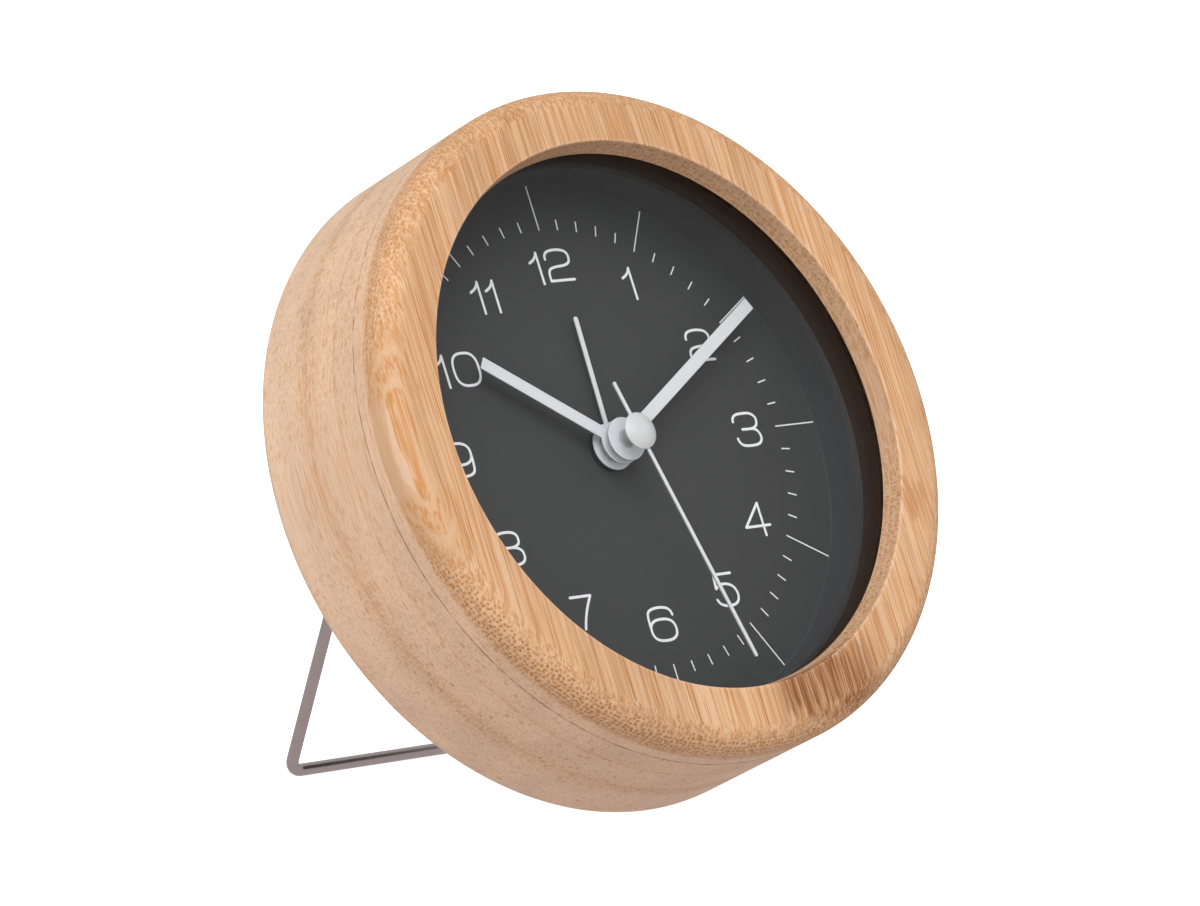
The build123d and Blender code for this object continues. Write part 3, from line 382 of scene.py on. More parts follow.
# A merged copy of a CAD node with its edges eased
def softened(node, width, steps=2, sharp=40):
    shape = bmesh.new()
    shape.from_mesh(cadNodes[node].data)
    bmesh.ops.remove_doubles(shape, verts=shape.verts, dist=2e-6)
    bmesh.ops.dissolve_limit(shape, angle_limit=radians(0.5), verts=shape.verts, edges=shape.edges)
    mesh = toMesh(shape, Matrix.Identity(4), sharp)
    holder = bpy.data.objects.new("holder", mesh)
    scene.collection.objects.link(holder)
    ease = holder.modifiers.new("ease", "BEVEL")
    ease.width = width / 1000
    ease.segments = steps
    ease.limit_method = "ANGLE"
    ease.angle_limit = radians(sharp)
    ease.use_clamp_overlap = True
    holder.modifiers.new("normals", "WEIGHTED_NORMAL").keep_sharp = True
    view = bpy.context.evaluated_depsgraph_get()
    made = bpy.data.meshes.new_from_object(holder.evaluated_get(view))
    bpy.data.objects.remove(holder)
    return made


# Geometry Nodes helpers
def newTree(name, inputs):
    tree = bpy.data.node_groups.new(name, "GeometryNodeTree")
    tree.interface.new_socket(name="Geometry", in_out="INPUT", socket_type="NodeSocketGeometry")
    for label, kind in inputs:
        tree.interface.new_socket(name=label, in_out="INPUT", socket_type=kind)
    tree.interface.new_socket(name="Geometry", in_out="OUTPUT", socket_type="NodeSocketGeometry")
    return tree, tree.nodes.new("NodeGroupInput").outputs, tree.nodes.new("NodeGroupOutput").inputs


def grown(tree, values, start=None, place=toRow):
    holder = bpy.data.objects.new("holder", start or bpy.data.meshes.new("start"))
    scene.collection.objects.link(holder)
    growth = holder.modifiers.new("growth", "NODES")
    growth.node_group = tree
    for socket in tree.interface.items_tree:
        if socket.in_out == "INPUT" and socket.name in values:
            growth[socket.identifier] = values[socket.name]
    view = bpy.context.evaluated_depsgraph_get()
    made = bpy.data.meshes.new_from_object(holder.evaluated_get(view))
    holder.modifiers.remove(growth)
    bpy.data.objects.remove(holder)
    made.transform(place)
    return made


def closeTree(tree, geometry, finish, leave):
    real = addNode(tree, "GeometryNodeRealizeInstances", {"Geometry": geometry}).outputs[0]
    painted = addNode(tree, "GeometryNodeSetMaterial", {"Geometry": real, "Material": finish}).outputs[0]
    tree.links.new(painted, leave["Geometry"])


# Bamboo case
caseSizes = {
    "radius": 62.5, "bore": 53.0, "front": 19.8, "seam": 10.4, "rear": -19.2, "frontRound": 4.6, "rearRound": 2.5,
    "lip": 50.7, "lipFlare": 0.7, "lipEase": 0.4, "lensFront": 15.5, "coverSeat": 57.5, "coverInner": -16.9,
    "seamEase": 0.12, "segments": 360,
}


# Density of the bundles by level, from the rear to the front; the least density at the rear pales the rear strip,
# partly its own tone, partly a painted highlight along the rear edge
bambooLook = {
    "levels": ((-19.2, 0.10), (-12.0, 0.12), (-8.0, 0.20), (-6.2, 0.40), (-4.2, 0.46), (-2.2, 0.30), (0.0, 0.26),
               (4.0, 0.28), (5.0, 0.34), (8.0, 0.28), (10.3, 0.26), (10.5, 0.26), (12.9, 0.30), (14.2, 1.0), (19.8, 1.0)),
    # lines round the case, the seam first: level, half width, least share, most share, colour
    "lines": ((10.4, 0.15, 0.25, 0.75, tint(128, 88, 66)), (4.5, 0.35, 0.0, 0.30, tint(188, 132, 82)),
              (-4.5, 0.50, 0.0, 0.25, tint(190, 138, 90))),
    "depth": 0.00012,
    "poreOrange": tint(196, 134, 76), "poreBrown": tint(160, 102, 56), "poreWall": tint(224, 188, 150),
    # knots of single strips: left, right, fade at the left, bottom, top, strength, colour
    "knots": ((1.2, 32.0, 6.0, -60.5, -44.0, 1.0, tint(134, 80, 40)), (46.0, 54.5, 2.0, -26.0, -17.0, 0.55, tint(178, 114, 58)),
              (-19.5, -13.0, 2.0, 56.8, 59.8, 0.55, tint(164, 106, 60))),
    # flame figure on the left round: middle across, middle along, half width, half length of its heart
    "flame": (19.0, -0.5, 2.9, 10.5),
    "flameBands": ((0.88, 1.0, 0.55), (1.12, 1.55, 0.8), (1.5, 1.58, 0.5), (1.7, 2.2, 0.6)),
    "flamePlain": tint(208, 168, 130), "flamePale": tint(216, 183, 154), "flameOrange": tint(194, 128, 62),
}


def addKnots(tree, place, colour, look):
    across, along, level = parts(tree, place)
    ragged = cloud(tree, stretch(tree, place, (1.1, 0.20, 1.1)), 1.0, 3.0).outputs[0]
    moved = calc(tree, "ADD", along, fade(tree, ragged, 0.3, 0.7, -2.6, 2.6, "LINEAR"))
    streak = cloud(tree, stretch(tree, place, (2.8, 0.07, 2.8)), 1.0, 3.0, 0.6).outputs[0]
    fibres = calc(tree, "MULTIPLY", fade(tree, streak, 0.42, 0.60, 1.0, 0.35), fade(tree, level, 16.5, 19.2))
    for left, right, soft, bottom, top, strength, dark in look["knots"]:
        edge = (top - bottom) * 0.3
        mask = calc(tree, "MULTIPLY", fade(tree, moved, bottom, bottom + edge), fade(tree, moved, top - edge, top, 1.0, 0.0))
        mask = calc(tree, "MULTIPLY", mask, fade(tree, across, left, left + soft))
        mask = calc(tree, "MULTIPLY", mask, fade(tree, across, left * 0.3 + right * 0.7, right, 1.0, 0.0))
        share = calc(tree, "MULTIPLY", calc(tree, "MULTIPLY", mask, fibres), strength)
        colour = blendColour(tree, share, colour, dark)
    return colour


# Growth layers cut by the left round: a long heart with fibre bands beyond both its ends
def addFlame(tree, place, rise, colour, look):
    middle, height, halfWidth, halfLength = look["flame"]
    across, along, level = parts(tree, place)
    ragged = cloud(tree, stretch(tree, place, (0.5, 0.12, 0.5)), 1.0, 2.0).outputs[0]
    moved = calc(tree, "ADD", calc(tree, "SUBTRACT", rise, middle), fade(tree, ragged, 0.3, 0.7, -0.6, 0.6, "LINEAR"))
    wide = calc(tree, "DIVIDE", moved, halfWidth)
    long = calc(tree, "DIVIDE", calc(tree, "SUBTRACT", along, height), halfLength)
    ring = calc(tree, "SQRT", calc(tree, "ADD", calc(tree, "MULTIPLY", wide, wide), calc(tree, "MULTIPLY", long, long)))
    line = cloud(tree, stretch(tree, place, (2.4, 0.03, 2.4)), 1.0, 2.0).outputs[0]
    dash = cloud(tree, stretch(tree, place, (2.6, 0.22, 2.6)), 1.0, 2.0).outputs[0]
    left = fade(tree, across, -50.0, -45.0, 1.0, 0.0)
    heart = calc(tree, "MULTIPLY", fade(tree, ring, 0.9, 1.02, 1.0, 0.0), left)
    ends = calc(tree, "MULTIPLY", fade(tree, calc(tree, "ABSOLUTE", long), 0.7, 1.0), left)
    plain = calc(tree, "MULTIPLY", fade(tree, ring, 1.9, 2.3, 0.8, 0.0), fade(tree, wide, 0.9, 1.3, 1.0, 0.0))
    colour = blendColour(tree, calc(tree, "MULTIPLY", plain, left), colour, look["flamePlain"])
    pale = calc(tree, "MULTIPLY", heart, fade(tree, wide, -0.6, -0.2, 0.8, 0.0))
    colour = blendColour(tree, pale, colour, look["flamePale"])
    lines = calc(tree, "MULTIPLY", heart, calc(tree, "MULTIPLY", fade(tree, wide, -0.6, -0.3), fade(tree, line, 0.42, 0.54)))
    colour = blendColour(tree, calc(tree, "MULTIPLY", lines, 0.8), colour, look["flameOrange"])
    for start, end, strength in look["flameBands"]:
        soft = (end - start) * 0.2
        band = calc(tree, "MULTIPLY", fade(tree, ring, start, start + soft), fade(tree, ring, end - soft, end, 1.0, 0.0))
        share = calc(tree, "MULTIPLY", calc(tree, "MULTIPLY", band, fade(tree, dash, 0.46, 0.58, 0.15, 1.0)), ends)
        colour = blendColour(tree, calc(tree, "MULTIPLY", share, strength), colour, look["flameOrange"])
    return colour


def bambooFinish(name, look, marked):
    finish, tree, surface = newFinish(name, {"Specular IOR Level": 0.35})
    place = useGroup(tree, placeGroup)["Place"]
    level = parts(tree, place)[2]
    low, high = look["levels"][0][0], look["levels"][-1][0]
    share = fade(tree, level, low, high, 0.0, 1.0, "LINEAR")
    curve = addNode(tree, "ShaderNodeValToRGB", {0: share})
    ramp = curve.color_ramp
    for index, (spot, value) in enumerate(look["levels"]):
        at = (spot - low) / (high - low)
        stop = ramp.elements[index] if index < 2 else ramp.elements.new(at)
        stop.position = at
        stop.color = (value, value, value, 1)
    layer = calc(tree, "FLOOR", calc(tree, "DIVIDE", calc(tree, "ADD", level, 4.5), 9.0))
    flat = stretch(tree, place, (1, 1, 0))
    reach = addNode(tree, "ShaderNodeVectorMath", {0: flat}, operation="LENGTH").outputs["Value"]
    density = calc(tree, "MULTIPLY", curve.outputs[0], fade(tree, reach, 51.6, 52.2, 0.65, 1.0))
    facing = tree.nodes.new("ShaderNodeTexCoord").outputs["Normal"]
    fibreWay = (toRow.to_3x3() @ Vector((0, 1, 0))).normalized()
    along = addNode(tree, "ShaderNodeVectorMath", {0: facing, 1: fibreWay}, operation="DOT_PRODUCT").outputs["Value"]
    end = calc(tree, "ABSOLUTE", along)
    grain = useGroup(tree, bambooGroup, {"Place": place, "Density": density, "Layer": layer, "End": end})
    pores = useGroup(tree, poreGroup, {"Place": place, "End": end})
    poreColour = blendColour(tree, pores["Chance"], look["poreOrange"], look["poreBrown"])
    colour = blendColour(tree, calc(tree, "MULTIPLY", pores["Wall"], 0.45), grain["Colour"], look["poreWall"])
    colour = blendColour(tree, calc(tree, "MULTIPLY", pores["Pit"], 0.75), colour, poreColour)
    ragged = cloud(tree, stretch(tree, place, (0.9, 0.25, 0.9)), 1.0, 3.0).outputs[0]
    for spot, half, least, most, dark in look["lines"]:
        off = calc(tree, "ABSOLUTE", calc(tree, "SUBTRACT", level, spot))
        line = fade(tree, off, half * 0.5, half * 1.6, 1.0, 0.0)
        line = calc(tree, "MULTIPLY", line, fade(tree, ragged, 0.35, 0.6, least, most))
        colour = blendColour(tree, line, colour, dark)
    if marked:
        colour = addFlame(tree, place, pores["Rise"], addKnots(tree, place, colour, look), look)
    tree.links.new(colour, surface.inputs["Base Color"])
    tree.links.new(grain["Rough"], surface.inputs["Roughness"])
    height = calc(tree, "SUBTRACT", calc(tree, "MULTIPLY", grain["Height"], 0.5), pores["Pit"])
    tree.links.new(bump(tree, height, look["depth"], 0.65), surface.inputs["Normal"])
    return finish


bambooRing = bambooFinish("bambooRing", bambooLook, True)
bambooBody = bambooFinish("bambooBody", bambooLook, False)


def makeCase(size):
    radius, seam, ease = size["radius"], size["seam"], size["seamEase"]
    rim = size["lip"] + size["lipFlare"] + size["lipEase"]
    ring = arc((rim, size["front"] - size["lipEase"]), size["lipEase"], 180, 90, 6)
    ring += arc((radius - size["frontRound"], size["front"] - size["frontRound"]), size["frontRound"], 90, 0, 14)
    ring += [(radius, seam + ease), (radius - ease, seam), (size["bore"], seam),
             (size["bore"], size["lensFront"]), (size["lip"], size["lensFront"])]
    asPiece("frontRing", lathe(ring, size["segments"]), bambooRing, "case", ("front_ring",))
    side = [(size["bore"], seam), (radius - ease, seam), (radius, seam - ease)]
    side += arc((radius - size["rearRound"], size["rear"] + size["rearRound"]), size["rearRound"], 0, -90, 8)
    side += [(size["coverSeat"], size["rear"]), (size["coverSeat"], size["coverInner"]), (size["bore"], size["coverInner"])]
    asPiece("caseBody", lathe(side, size["segments"]), bambooBody, "case", ("case_body",))


makeCase(caseSizes)
print("bamboo case made")

# Lens: clear pane that mirrors a little
lensLook = {"index": 1.46, "tone": (0.97, 0.975, 0.97, 1), "mirror": 0.35}


def lensFinish(look):
    finish, tree, surface = newFinish("lensPane")
    tree.nodes.remove(surface)
    smear = cloud(tree, useGroup(tree, placeGroup)["Place"], 0.09, 3.0).outputs[0]
    clear = addNode(tree, "ShaderNodeBsdfTransparent", {"Color": look["tone"]}).outputs[0]
    mirror = addNode(tree, "ShaderNodeBsdfGlossy", {"Roughness": fade(tree, smear, 0.4, 0.7, 0.0, 0.03)}).outputs[0]
    isBack = tree.nodes.new("ShaderNodeNewGeometry").outputs["Backfacing"]
    index = fade(tree, isBack, 0.0, 1.0, look["index"], 1 / look["index"], "LINEAR")
    share = addNode(tree, "ShaderNodeFresnel", {"IOR": index}).outputs[0]
    share = calc(tree, "MULTIPLY", share, look["mirror"])  # coated against glare
    mixed = addNode(tree, "ShaderNodeMixShader", {0: share, 1: clear, 2: mirror}).outputs[0]
    tree.links.new(mixed, tree.nodes["Material Output"].inputs["Surface"])
    return finish


cadNodes["lens"].data.materials.clear()
cadNodes["lens"].data.materials.append(lensFinish(lensLook))

# Spacer between lens and dial: a grey rim below, a dark wall set back above
linerSizes = {"outer": 52.7, "inner": 51.0, "setBack": 51.6, "front": 13.5, "cove": 0.15, "rim": 7.7, "slope": 0.9, "segments": 240}
linerLook = {
    "Colour": tint(66, 66, 69), "bands": ((2, 7.7, tint(38, 37, 38)), (2, 8.6, tint(46, 28, 16))), "Grain": 1.1, "Rough": 0.6, "Spread": 0.06,
    "depth": 0.000001,
}


def makeLiner(size):
    inner, cove, rim = size["inner"], size["cove"], size["rim"]
    profile = [(size["outer"], 0), (size["outer"], size["front"]), (size["setBack"], size["front"]),
               (size["setBack"], rim + size["slope"]), (inner, rim)]
    profile += [(inner, cove), (inner - cove * 0.3, cove * 0.3), (inner - cove, 0)]
    asPiece("lensLiner", lathe(profile, size["segments"]), plasticFinish("linerMatte", linerLook), "case", ("spacer_ring",))


makeLiner(linerSizes)

# Dial and its printing
dialLook = {"Colour": tint(59, 59, 61), "Grain": 3.0, "Rough": 0.7, "Spread": 0.02, "depth": 0.0000004}
cadNodes["dial"].data.materials.clear()
cadNodes["dial"].data.materials.append(plasticFinish("dialPaint", dialLook))
printLook = {"Colour": tint(248, 250, 253), "Grain": 5.0, "Rough": 0.5, "Spread": 0.06, "depth": 0.00001}
printWhite = plasticFinish("printWhite", printLook)
printSizes = {"shift": (-0.22, 0.72), "lift": 0.02, "stroke": 0.51}
tickSizes = {
    "Count": 60, "Every": 5, "Inner": 41.45, "Short": 2.05, "Edge": 50.72, "Width": 0.26, "Thickness": 0.03,
    "Shift X": printSizes["shift"][0], "Shift Y": printSizes["shift"][1],
}


# Long ticks end on the dial's rim, which the printing sits a little off
def makeTicks(size):
    labels = [("Count", "NodeSocketInt"), ("Every", "NodeSocketInt")]
    labels += [(key, "NodeSocketFloat") for key in ("Inner", "Short", "Edge", "Width", "Thickness", "Shift X", "Shift Y")]
    tree, enter, leave = newTree("dialTicks", labels)
    index = tree.nodes.new("GeometryNodeInputIndex").outputs[0]
    turn = calc(tree, "MULTIPLY", calc(tree, "DIVIDE", index, enter["Count"]), tau)
    right, up = calc(tree, "SINE", turn), calc(tree, "COSINE", turn)
    lean = calc(tree, "ADD", calc(tree, "MULTIPLY", enter["Shift X"], right), calc(tree, "MULTIPLY", enter["Shift Y"], up))
    aside = calc(tree, "SUBTRACT", calc(tree, "MULTIPLY", enter["Shift X"], up), calc(tree, "MULTIPLY", enter["Shift Y"], right))
    chord = calc(tree, "SUBTRACT", calc(tree, "MULTIPLY", enter["Edge"], enter["Edge"]), calc(tree, "MULTIPLY", aside, aside))
    rim = calc(tree, "SUBTRACT", calc(tree, "SQRT", chord), lean)
    short = calc(tree, "ADD", enter["Inner"], enter["Short"])
    isShort = calc(tree, "GREATER_THAN", calc(tree, "MODULO", index, enter["Every"]), 0.5)
    outer = calc(tree, "ADD", rim, calc(tree, "MULTIPLY", isShort, calc(tree, "SUBTRACT", short, rim)))
    length = calc(tree, "SUBTRACT", outer, enter["Inner"])
    reach = calc(tree, "MULTIPLY", calc(tree, "ADD", outer, enter["Inner"]), 0.5)
    spot = addNode(tree, "ShaderNodeCombineXYZ", {
        0: calc(tree, "MULTIPLY_ADD", right, reach, enter["Shift X"]), 1: calc(tree, "MULTIPLY_ADD", up, reach, enter["Shift Y"]),
        2: calc(tree, "MULTIPLY", enter["Thickness"], 0.5),
    }).outputs[0]
    points = addNode(tree, "GeometryNodePoints", {"Count": enter["Count"], "Position": spot}).outputs[0]
    bar = addNode(tree, "GeometryNodeMeshCube", {"Size": (1, 1, 1)}).outputs[0]
    facing = addNode(tree, "ShaderNodeCombineXYZ", {2: calc(tree, "MULTIPLY", turn, -1.0)}).outputs[0]
    scale = addNode(tree, "ShaderNodeCombineXYZ", {0: enter["Width"], 1: length, 2: enter["Thickness"]}).outputs[0]
    bars = addNode(tree, "GeometryNodeInstanceOnPoints", {"Points": points, "Instance": bar, "Rotation": facing, "Scale": scale}).outputs[0]
    closeTree(tree, bars, printWhite, leave)
    asPiece("minuteTicks", grown(tree, size), printWhite, "case")


makeTicks(tickSizes)


# Centre lines of the figures, height about 6 mm, drawn as strokes of even width
def oval(middle, half, start, end, power=2.5, steps=40):
    spots = []
    for step in range(steps + 1):
        turn = radians(start + (end - start) * step / steps)
        c, s = cos(turn), sin(turn)
        x = abs(c) ** (2 / power) * (1 if c >= 0 else -1)
        y = abs(s) ** (2 / power) * (1 if s >= 0 else -1)
        spots.append((middle[0] + half[0] * x, middle[1] + half[1] * y))
    return spots


def smoothLine(points, steps=8):
    padded = [points[0]] + list(points) + [points[-1]]
    spots = []
    for index in range(1, len(padded) - 2):
        a, b, c, d = (Vector(padded[index + shift]) for shift in (-1, 0, 1, 2))
        for step in range(steps):
            t = step / steps
            spots.append(0.5 * (2 * b + (c - a) * t + (2 * a - 5 * b + 4 * c - d) * t * t + (3 * b - a - 3 * c + d) * t ** 3))
    return spots + [Vector(points[-1])]


sixStrokes = [
    smoothLine([(2.93, 1.50), (2.70, 2.25), (1.85, 2.85), (0.0, 3.08), (-1.85, 2.80), (-2.70, 2.0), (-2.92, 0.1)]),
    oval((0, -1.10), (2.92, 2.0), 90, 450),
    [(-2.92, 0.1), (-2.92, -1.1)],
]
figures = {
    "0": [oval((0, 0), (2.88, 3.06), 90, 450, 2.7)],
    "1": [smoothLine([(-2.0, 1.15), (-0.95, 1.72), (-0.3, 2.40), (0.0, 3.0)]), [(0.0, 3.0), (0.0, -3.0)]],
    "2": [smoothLine([(-2.77, 1.43), (-2.62, 2.20), (-1.80, 2.86), (0.0, 3.08), (1.83, 2.82), (2.66, 2.15), (2.78, 1.35),
                      (2.40, 0.45), (1.18, 0.0), (-0.82, -0.17), (-2.17, -0.52), (-2.72, -1.35), (-2.77, -2.80)]),
          [(-2.77, -2.80), (2.75, -2.80)]],
    "3": [smoothLine([(-2.85, 1.67), (-2.62, 2.36), (-1.75, 2.96), (0.0, 3.10), (1.60, 2.98), (2.62, 2.34), (2.85, 1.52),
                      (2.42, 0.55), (1.25, 0.07), (-1.08, 0.07)]),
          smoothLine([(1.25, 0.07), (2.25, -0.33), (2.85, -1.35), (2.65, -2.35), (1.75, -2.98), (0.0, -3.14), (-1.75, -2.98),
                      (-2.62, -2.33), (-2.85, -1.60)])],
    "4": [[(1.33, 3.1), (-2.94, -1.23)], [(-2.94, -1.23), (2.94, -1.23)], [(1.33, 3.1), (1.33, -3.07)]],
    "5": [[(2.2, 3.0), (-1.9, 3.0)], [(-1.9, 3.0), (-2.2, 0.35)],
          smoothLine([(-2.2, 0.35), (-1.5, 0.80), (-0.3, 1.10), (0.8, 1.0), (1.95, 0.45), (2.6, -0.8), (2.35, -2.05),
                      (1.5, -2.78), (0.2, -3.02), (-1.1, -2.92), (-2.15, -2.47), (-2.65, -1.70)])],
    "6": sixStrokes,
    "7": [[(-2.37, 3.0), (2.37, 3.0)], smoothLine([(2.37, 3.0), (1.50, 1.75), (0.53, 0.18), (-0.3, -1.5), (-0.87, -3.0)])],
    "8": [oval((0, 1.63), (2.58, 1.44), 90, 450, 2.6), oval((0, -1.42), (2.9, 1.62), 90, 450, 2.6)],
    "9": [[(-spot[0], -spot[1]) for spot in stroke] for stroke in sixStrokes],
}
figurePlaces = (
    ("1", -2.55, 34.28), ("2", 2.04, 34.48), ("1", 18.08, 29.86), ("2", 29.35, 16.80), ("3", 34.41, 0.03),
    ("4", 29.84, -17.09), ("5", 17.45, -29.25), ("6", 0.33, -33.90), ("7", -16.50, -29.92), ("8", -28.99, -16.70),
    ("9", -34.07, 0.40), ("1", -31.16, 16.81), ("0", -26.36, 16.86), ("1", -18.08, 29.79), ("1", -14.58, 29.79),
)


def addStroke(shape, points, half, low, high, capSteps=6):
    line = [Vector((point[0], point[1])) for point in points]
    closed = (line[0] - line[-1]).length < 1e-6
    stations = []
    for index, spot in enumerate(line):
        before = line[index - 1] if index else (line[-2] if closed else spot)
        after = line[index + 1] if index + 1 < len(line) else (line[1] if closed else spot)
        ahead = (after - before).normalized()
        stations.append((spot, ahead, half))
    if not closed:
        first, last = stations[0], stations[-1]
        for step in range(capSteps):
            turn = pi / 2 * (step + 0.35) / capSteps
            back, wide = half * cos(turn), half * sin(turn)
            stations.insert(step, (first[0] - first[1] * back, first[1], wide))
            stations.insert(len(stations) - step, (last[0] + last[1] * back, last[1], wide))
    rows = []
    for spot, ahead, wide in (stations[:-1] if closed else stations):
        side = Vector((-ahead.y, ahead.x)) * wide
        corners = ((spot - side, low), (spot + side, low), (spot + side, high), (spot - side, high))
        rows.append([shape.verts.new((corner.x, corner.y, level)) for corner, level in corners])
    runs = len(rows) if closed else len(rows) - 1
    for index in range(runs):
        here, there = rows[index], rows[(index + 1) % len(rows)]
        for corner in range(4):
            after = (corner + 1) % 4
            shape.faces.new((here[corner], there[corner], there[after], here[after]))
    if not closed:
        shape.faces.new(rows[0])
        shape.faces.new(rows[-1])


def makeFigures(size):
    shape = bmesh.new()
    for label, x, y in figurePlaces:
        for order, stroke in enumerate(figures[label]):
            moved = [(x + spot[0] + size["shift"][0], y + spot[1] + size["shift"][1]) for spot in stroke]
            addStroke(shape, moved, size["stroke"] / 2, 0.0, size["lift"] + 0.004 * order)
    bmesh.ops.recalc_face_normals(shape, faces=shape.faces)
    asPiece("dialFigures", toMesh(shape), printWhite, "case")


makeFigures(printSizes)
print("dial printed")

# Hands and cap
# edge: side-wall tone of the hands, partly the bare cut edge, partly painted shade in the gaps of the hub's disc stack
handLook = {"Colour": tint(227, 230, 236), "edge": tint(164, 166, 171), "Grain": 1.6, "Rough": 0.38, "Spread": 0.08, "depth": 0.00001}
handPaint = plasticFinish("handPaint", handLook)
handEase = {"alarm_hand": 0.08, "hour_hand": 0.10, "minute_hand": 0.10, "second_hand": 0.06}
handBodies = {"alarm_hand": "alarm", "hour_hand": "hours", "minute_hand": "minutes", "second_hand": "seconds"}
for node, ease in handEase.items():
    label = node.split("_")[0] + "Hand"
    asPiece(label, softened(node, ease), handPaint, handBodies[node], (node,))

capLook = {"Colour": tint(219, 219, 222), "Grain": 0.8, "Rough": 0.30, "Spread": 0.05, "depth": 0.000004}


def makeCap(segments=96):
    low, high = dialBox("hub_cap")
    radius = (high.x - low.x) / 2
    tall = high.z - low.z
    edge = tall * 0.22
    profile = [(0, low.z), (radius - 0.12, low.z), (radius, low.z + 0.12), (radius, low.z + edge)]
    rise = tall - edge
    ball = (radius * radius + rise * rise) / (2 * rise)
    for step in range(1, 25):
        across = radius * (1 - step / 24)
        profile.append((across, high.z - ball + (ball * ball - across * across) ** 0.5))
    asPiece("hubCap", lathe(profile, segments, closed=False), plasticFinish("capGloss", capLook), "seconds", ("hub_cap",))


makeCap()
print("hands and cap made")

# Wire stand, one bent wire
standSizes = {"pivotUp": 19.8, "pivotLevel": -20.6, "spread": 29.0, "pinEnd": 36.6, "swing": 21.3}
wireSizes = {"Wire Radius": 1.15, "Bend Radius": 2.6, "Bend Points": 10, "Sides": 24}
wireLook = {"Colour": tint(186, 175, 173), "Stretch": (6.0, 0.5, 0.5), "Rough": 0.28, "Spread": 0.16, "depth": 0.000004}
wireSatin = metalFinish("wireSatin", wireLook)


def makeStand(size, wire):
    pivot = toRow @ Vector((0, size["pivotUp"], size["pivotLevel"])) * 1000
    swing = radians(size["swing"])
    length = (pivot.z - wire["Wire Radius"]) / cos(swing)
    down = Vector((0, sin(swing), -cos(swing))) * length
    spots = [(size["pinEnd"], 0), (size["spread"], 0), (size["spread"], 1), (-size["spread"], 1), (-size["spread"], 0), (-size["pinEnd"], 0)]
    path = bpy.data.meshes.new("path")
    path.from_pydata([pivot + Vector((x, 0, 0)) + down * share for x, share in spots], [(i, i + 1) for i in range(5)], [])
    labels = [("Wire Radius", "NodeSocketFloat"), ("Bend Radius", "NodeSocketFloat"), ("Bend Points", "NodeSocketInt"), ("Sides", "NodeSocketInt")]
    tree, enter, leave = newTree("bentWire", labels)
    line = addNode(tree, "GeometryNodeMeshToCurve", {"Mesh": enter["Geometry"]}).outputs[0]
    bent = addNode(tree, "GeometryNodeFilletCurve", {"Curve": line, "Radius": enter["Bend Radius"], "Count": enter["Bend Points"]}, mode="POLY").outputs[0]
    loop = addNode(tree, "GeometryNodeCurvePrimitiveCircle", {"Resolution": enter["Sides"], "Radius": enter["Wire Radius"]}).outputs[0]
    rod = addNode(tree, "GeometryNodeCurveToMesh", {"Curve": bent, "Profile Curve": loop, "Fill Caps": True}).outputs[0]
    closeTree(tree, rod, wireSatin, leave)
    mesh = grown(tree, wire, path, mmToRow)
    mesh.shade_smooth()
    mesh.set_sharp_from_angle(angle=radians(50))
    asPiece("standWire", mesh, wireSatin, "wire_stand", ("stand",))


makeStand(standSizes, wireSizes)
print("stand bent")

# Rear cover, movement case, knobs, switch, door and screws
coverLook = {"Colour": tint(44, 43, 42), "Grain": 3.2, "Rough": 0.52, "Spread": 0.12, "depth": 0.00004}
movementLook = {"Colour": tint(50, 50, 51), "Grain": 4.0, "Rough": 0.45, "Spread": 0.10, "depth": 0.00003}
knobLook = {"Colour": tint(34, 34, 35), "Grain": 2.4, "Rough": 0.38, "Spread": 0.10, "depth": 0.00002}
screwLook = {"Colour": tint(178, 176, 172), "Stretch": (4.0, 0.6, 4.0), "Rough": 0.32, "Spread": 0.2, "depth": 0.000006}
coverPlastic = plasticFinish("coverPlastic", coverLook)
movementPlastic = plasticFinish("movementPlastic", movementLook)
knobPlastic = plasticFinish("knobPlastic", knobLook)
screwSteel = metalFinish("screwSteel", screwLook)
rearPieces = (
    ("rear_cover", "rearCover", 0.25, coverPlastic, "case", "black_plastic"),
    ("movement_housing", "movementCase", 0.20, movementPlastic, "case", "movement_plastic"),
    ("battery_door", "batteryDoor", 0.15, coverPlastic, "door", "black_plastic"),
    ("time_knob", "timeKnob", 0.12, knobPlastic, "time_setter", "knob_plastic"),
    ("alarm_knob", "alarmKnob", 0.12, knobPlastic, "alarm_setter", "knob_plastic"),
    ("alarm_switch", "alarmSwitch", 0.12, knobPlastic, "switch", "knob_plastic"),
    ("cover_screws", "coverScrews", 0.06, screwSteel, "case", "screw_steel"),
    ("movement_screws", "movementScrews", 0.08, screwSteel, "case", "screw_steel"),
)
for node, label, ease, finish, body, slot in rearPieces:
    asPiece(label, softened(node, ease), finish, body, (node,))
print("rear pieces eased")

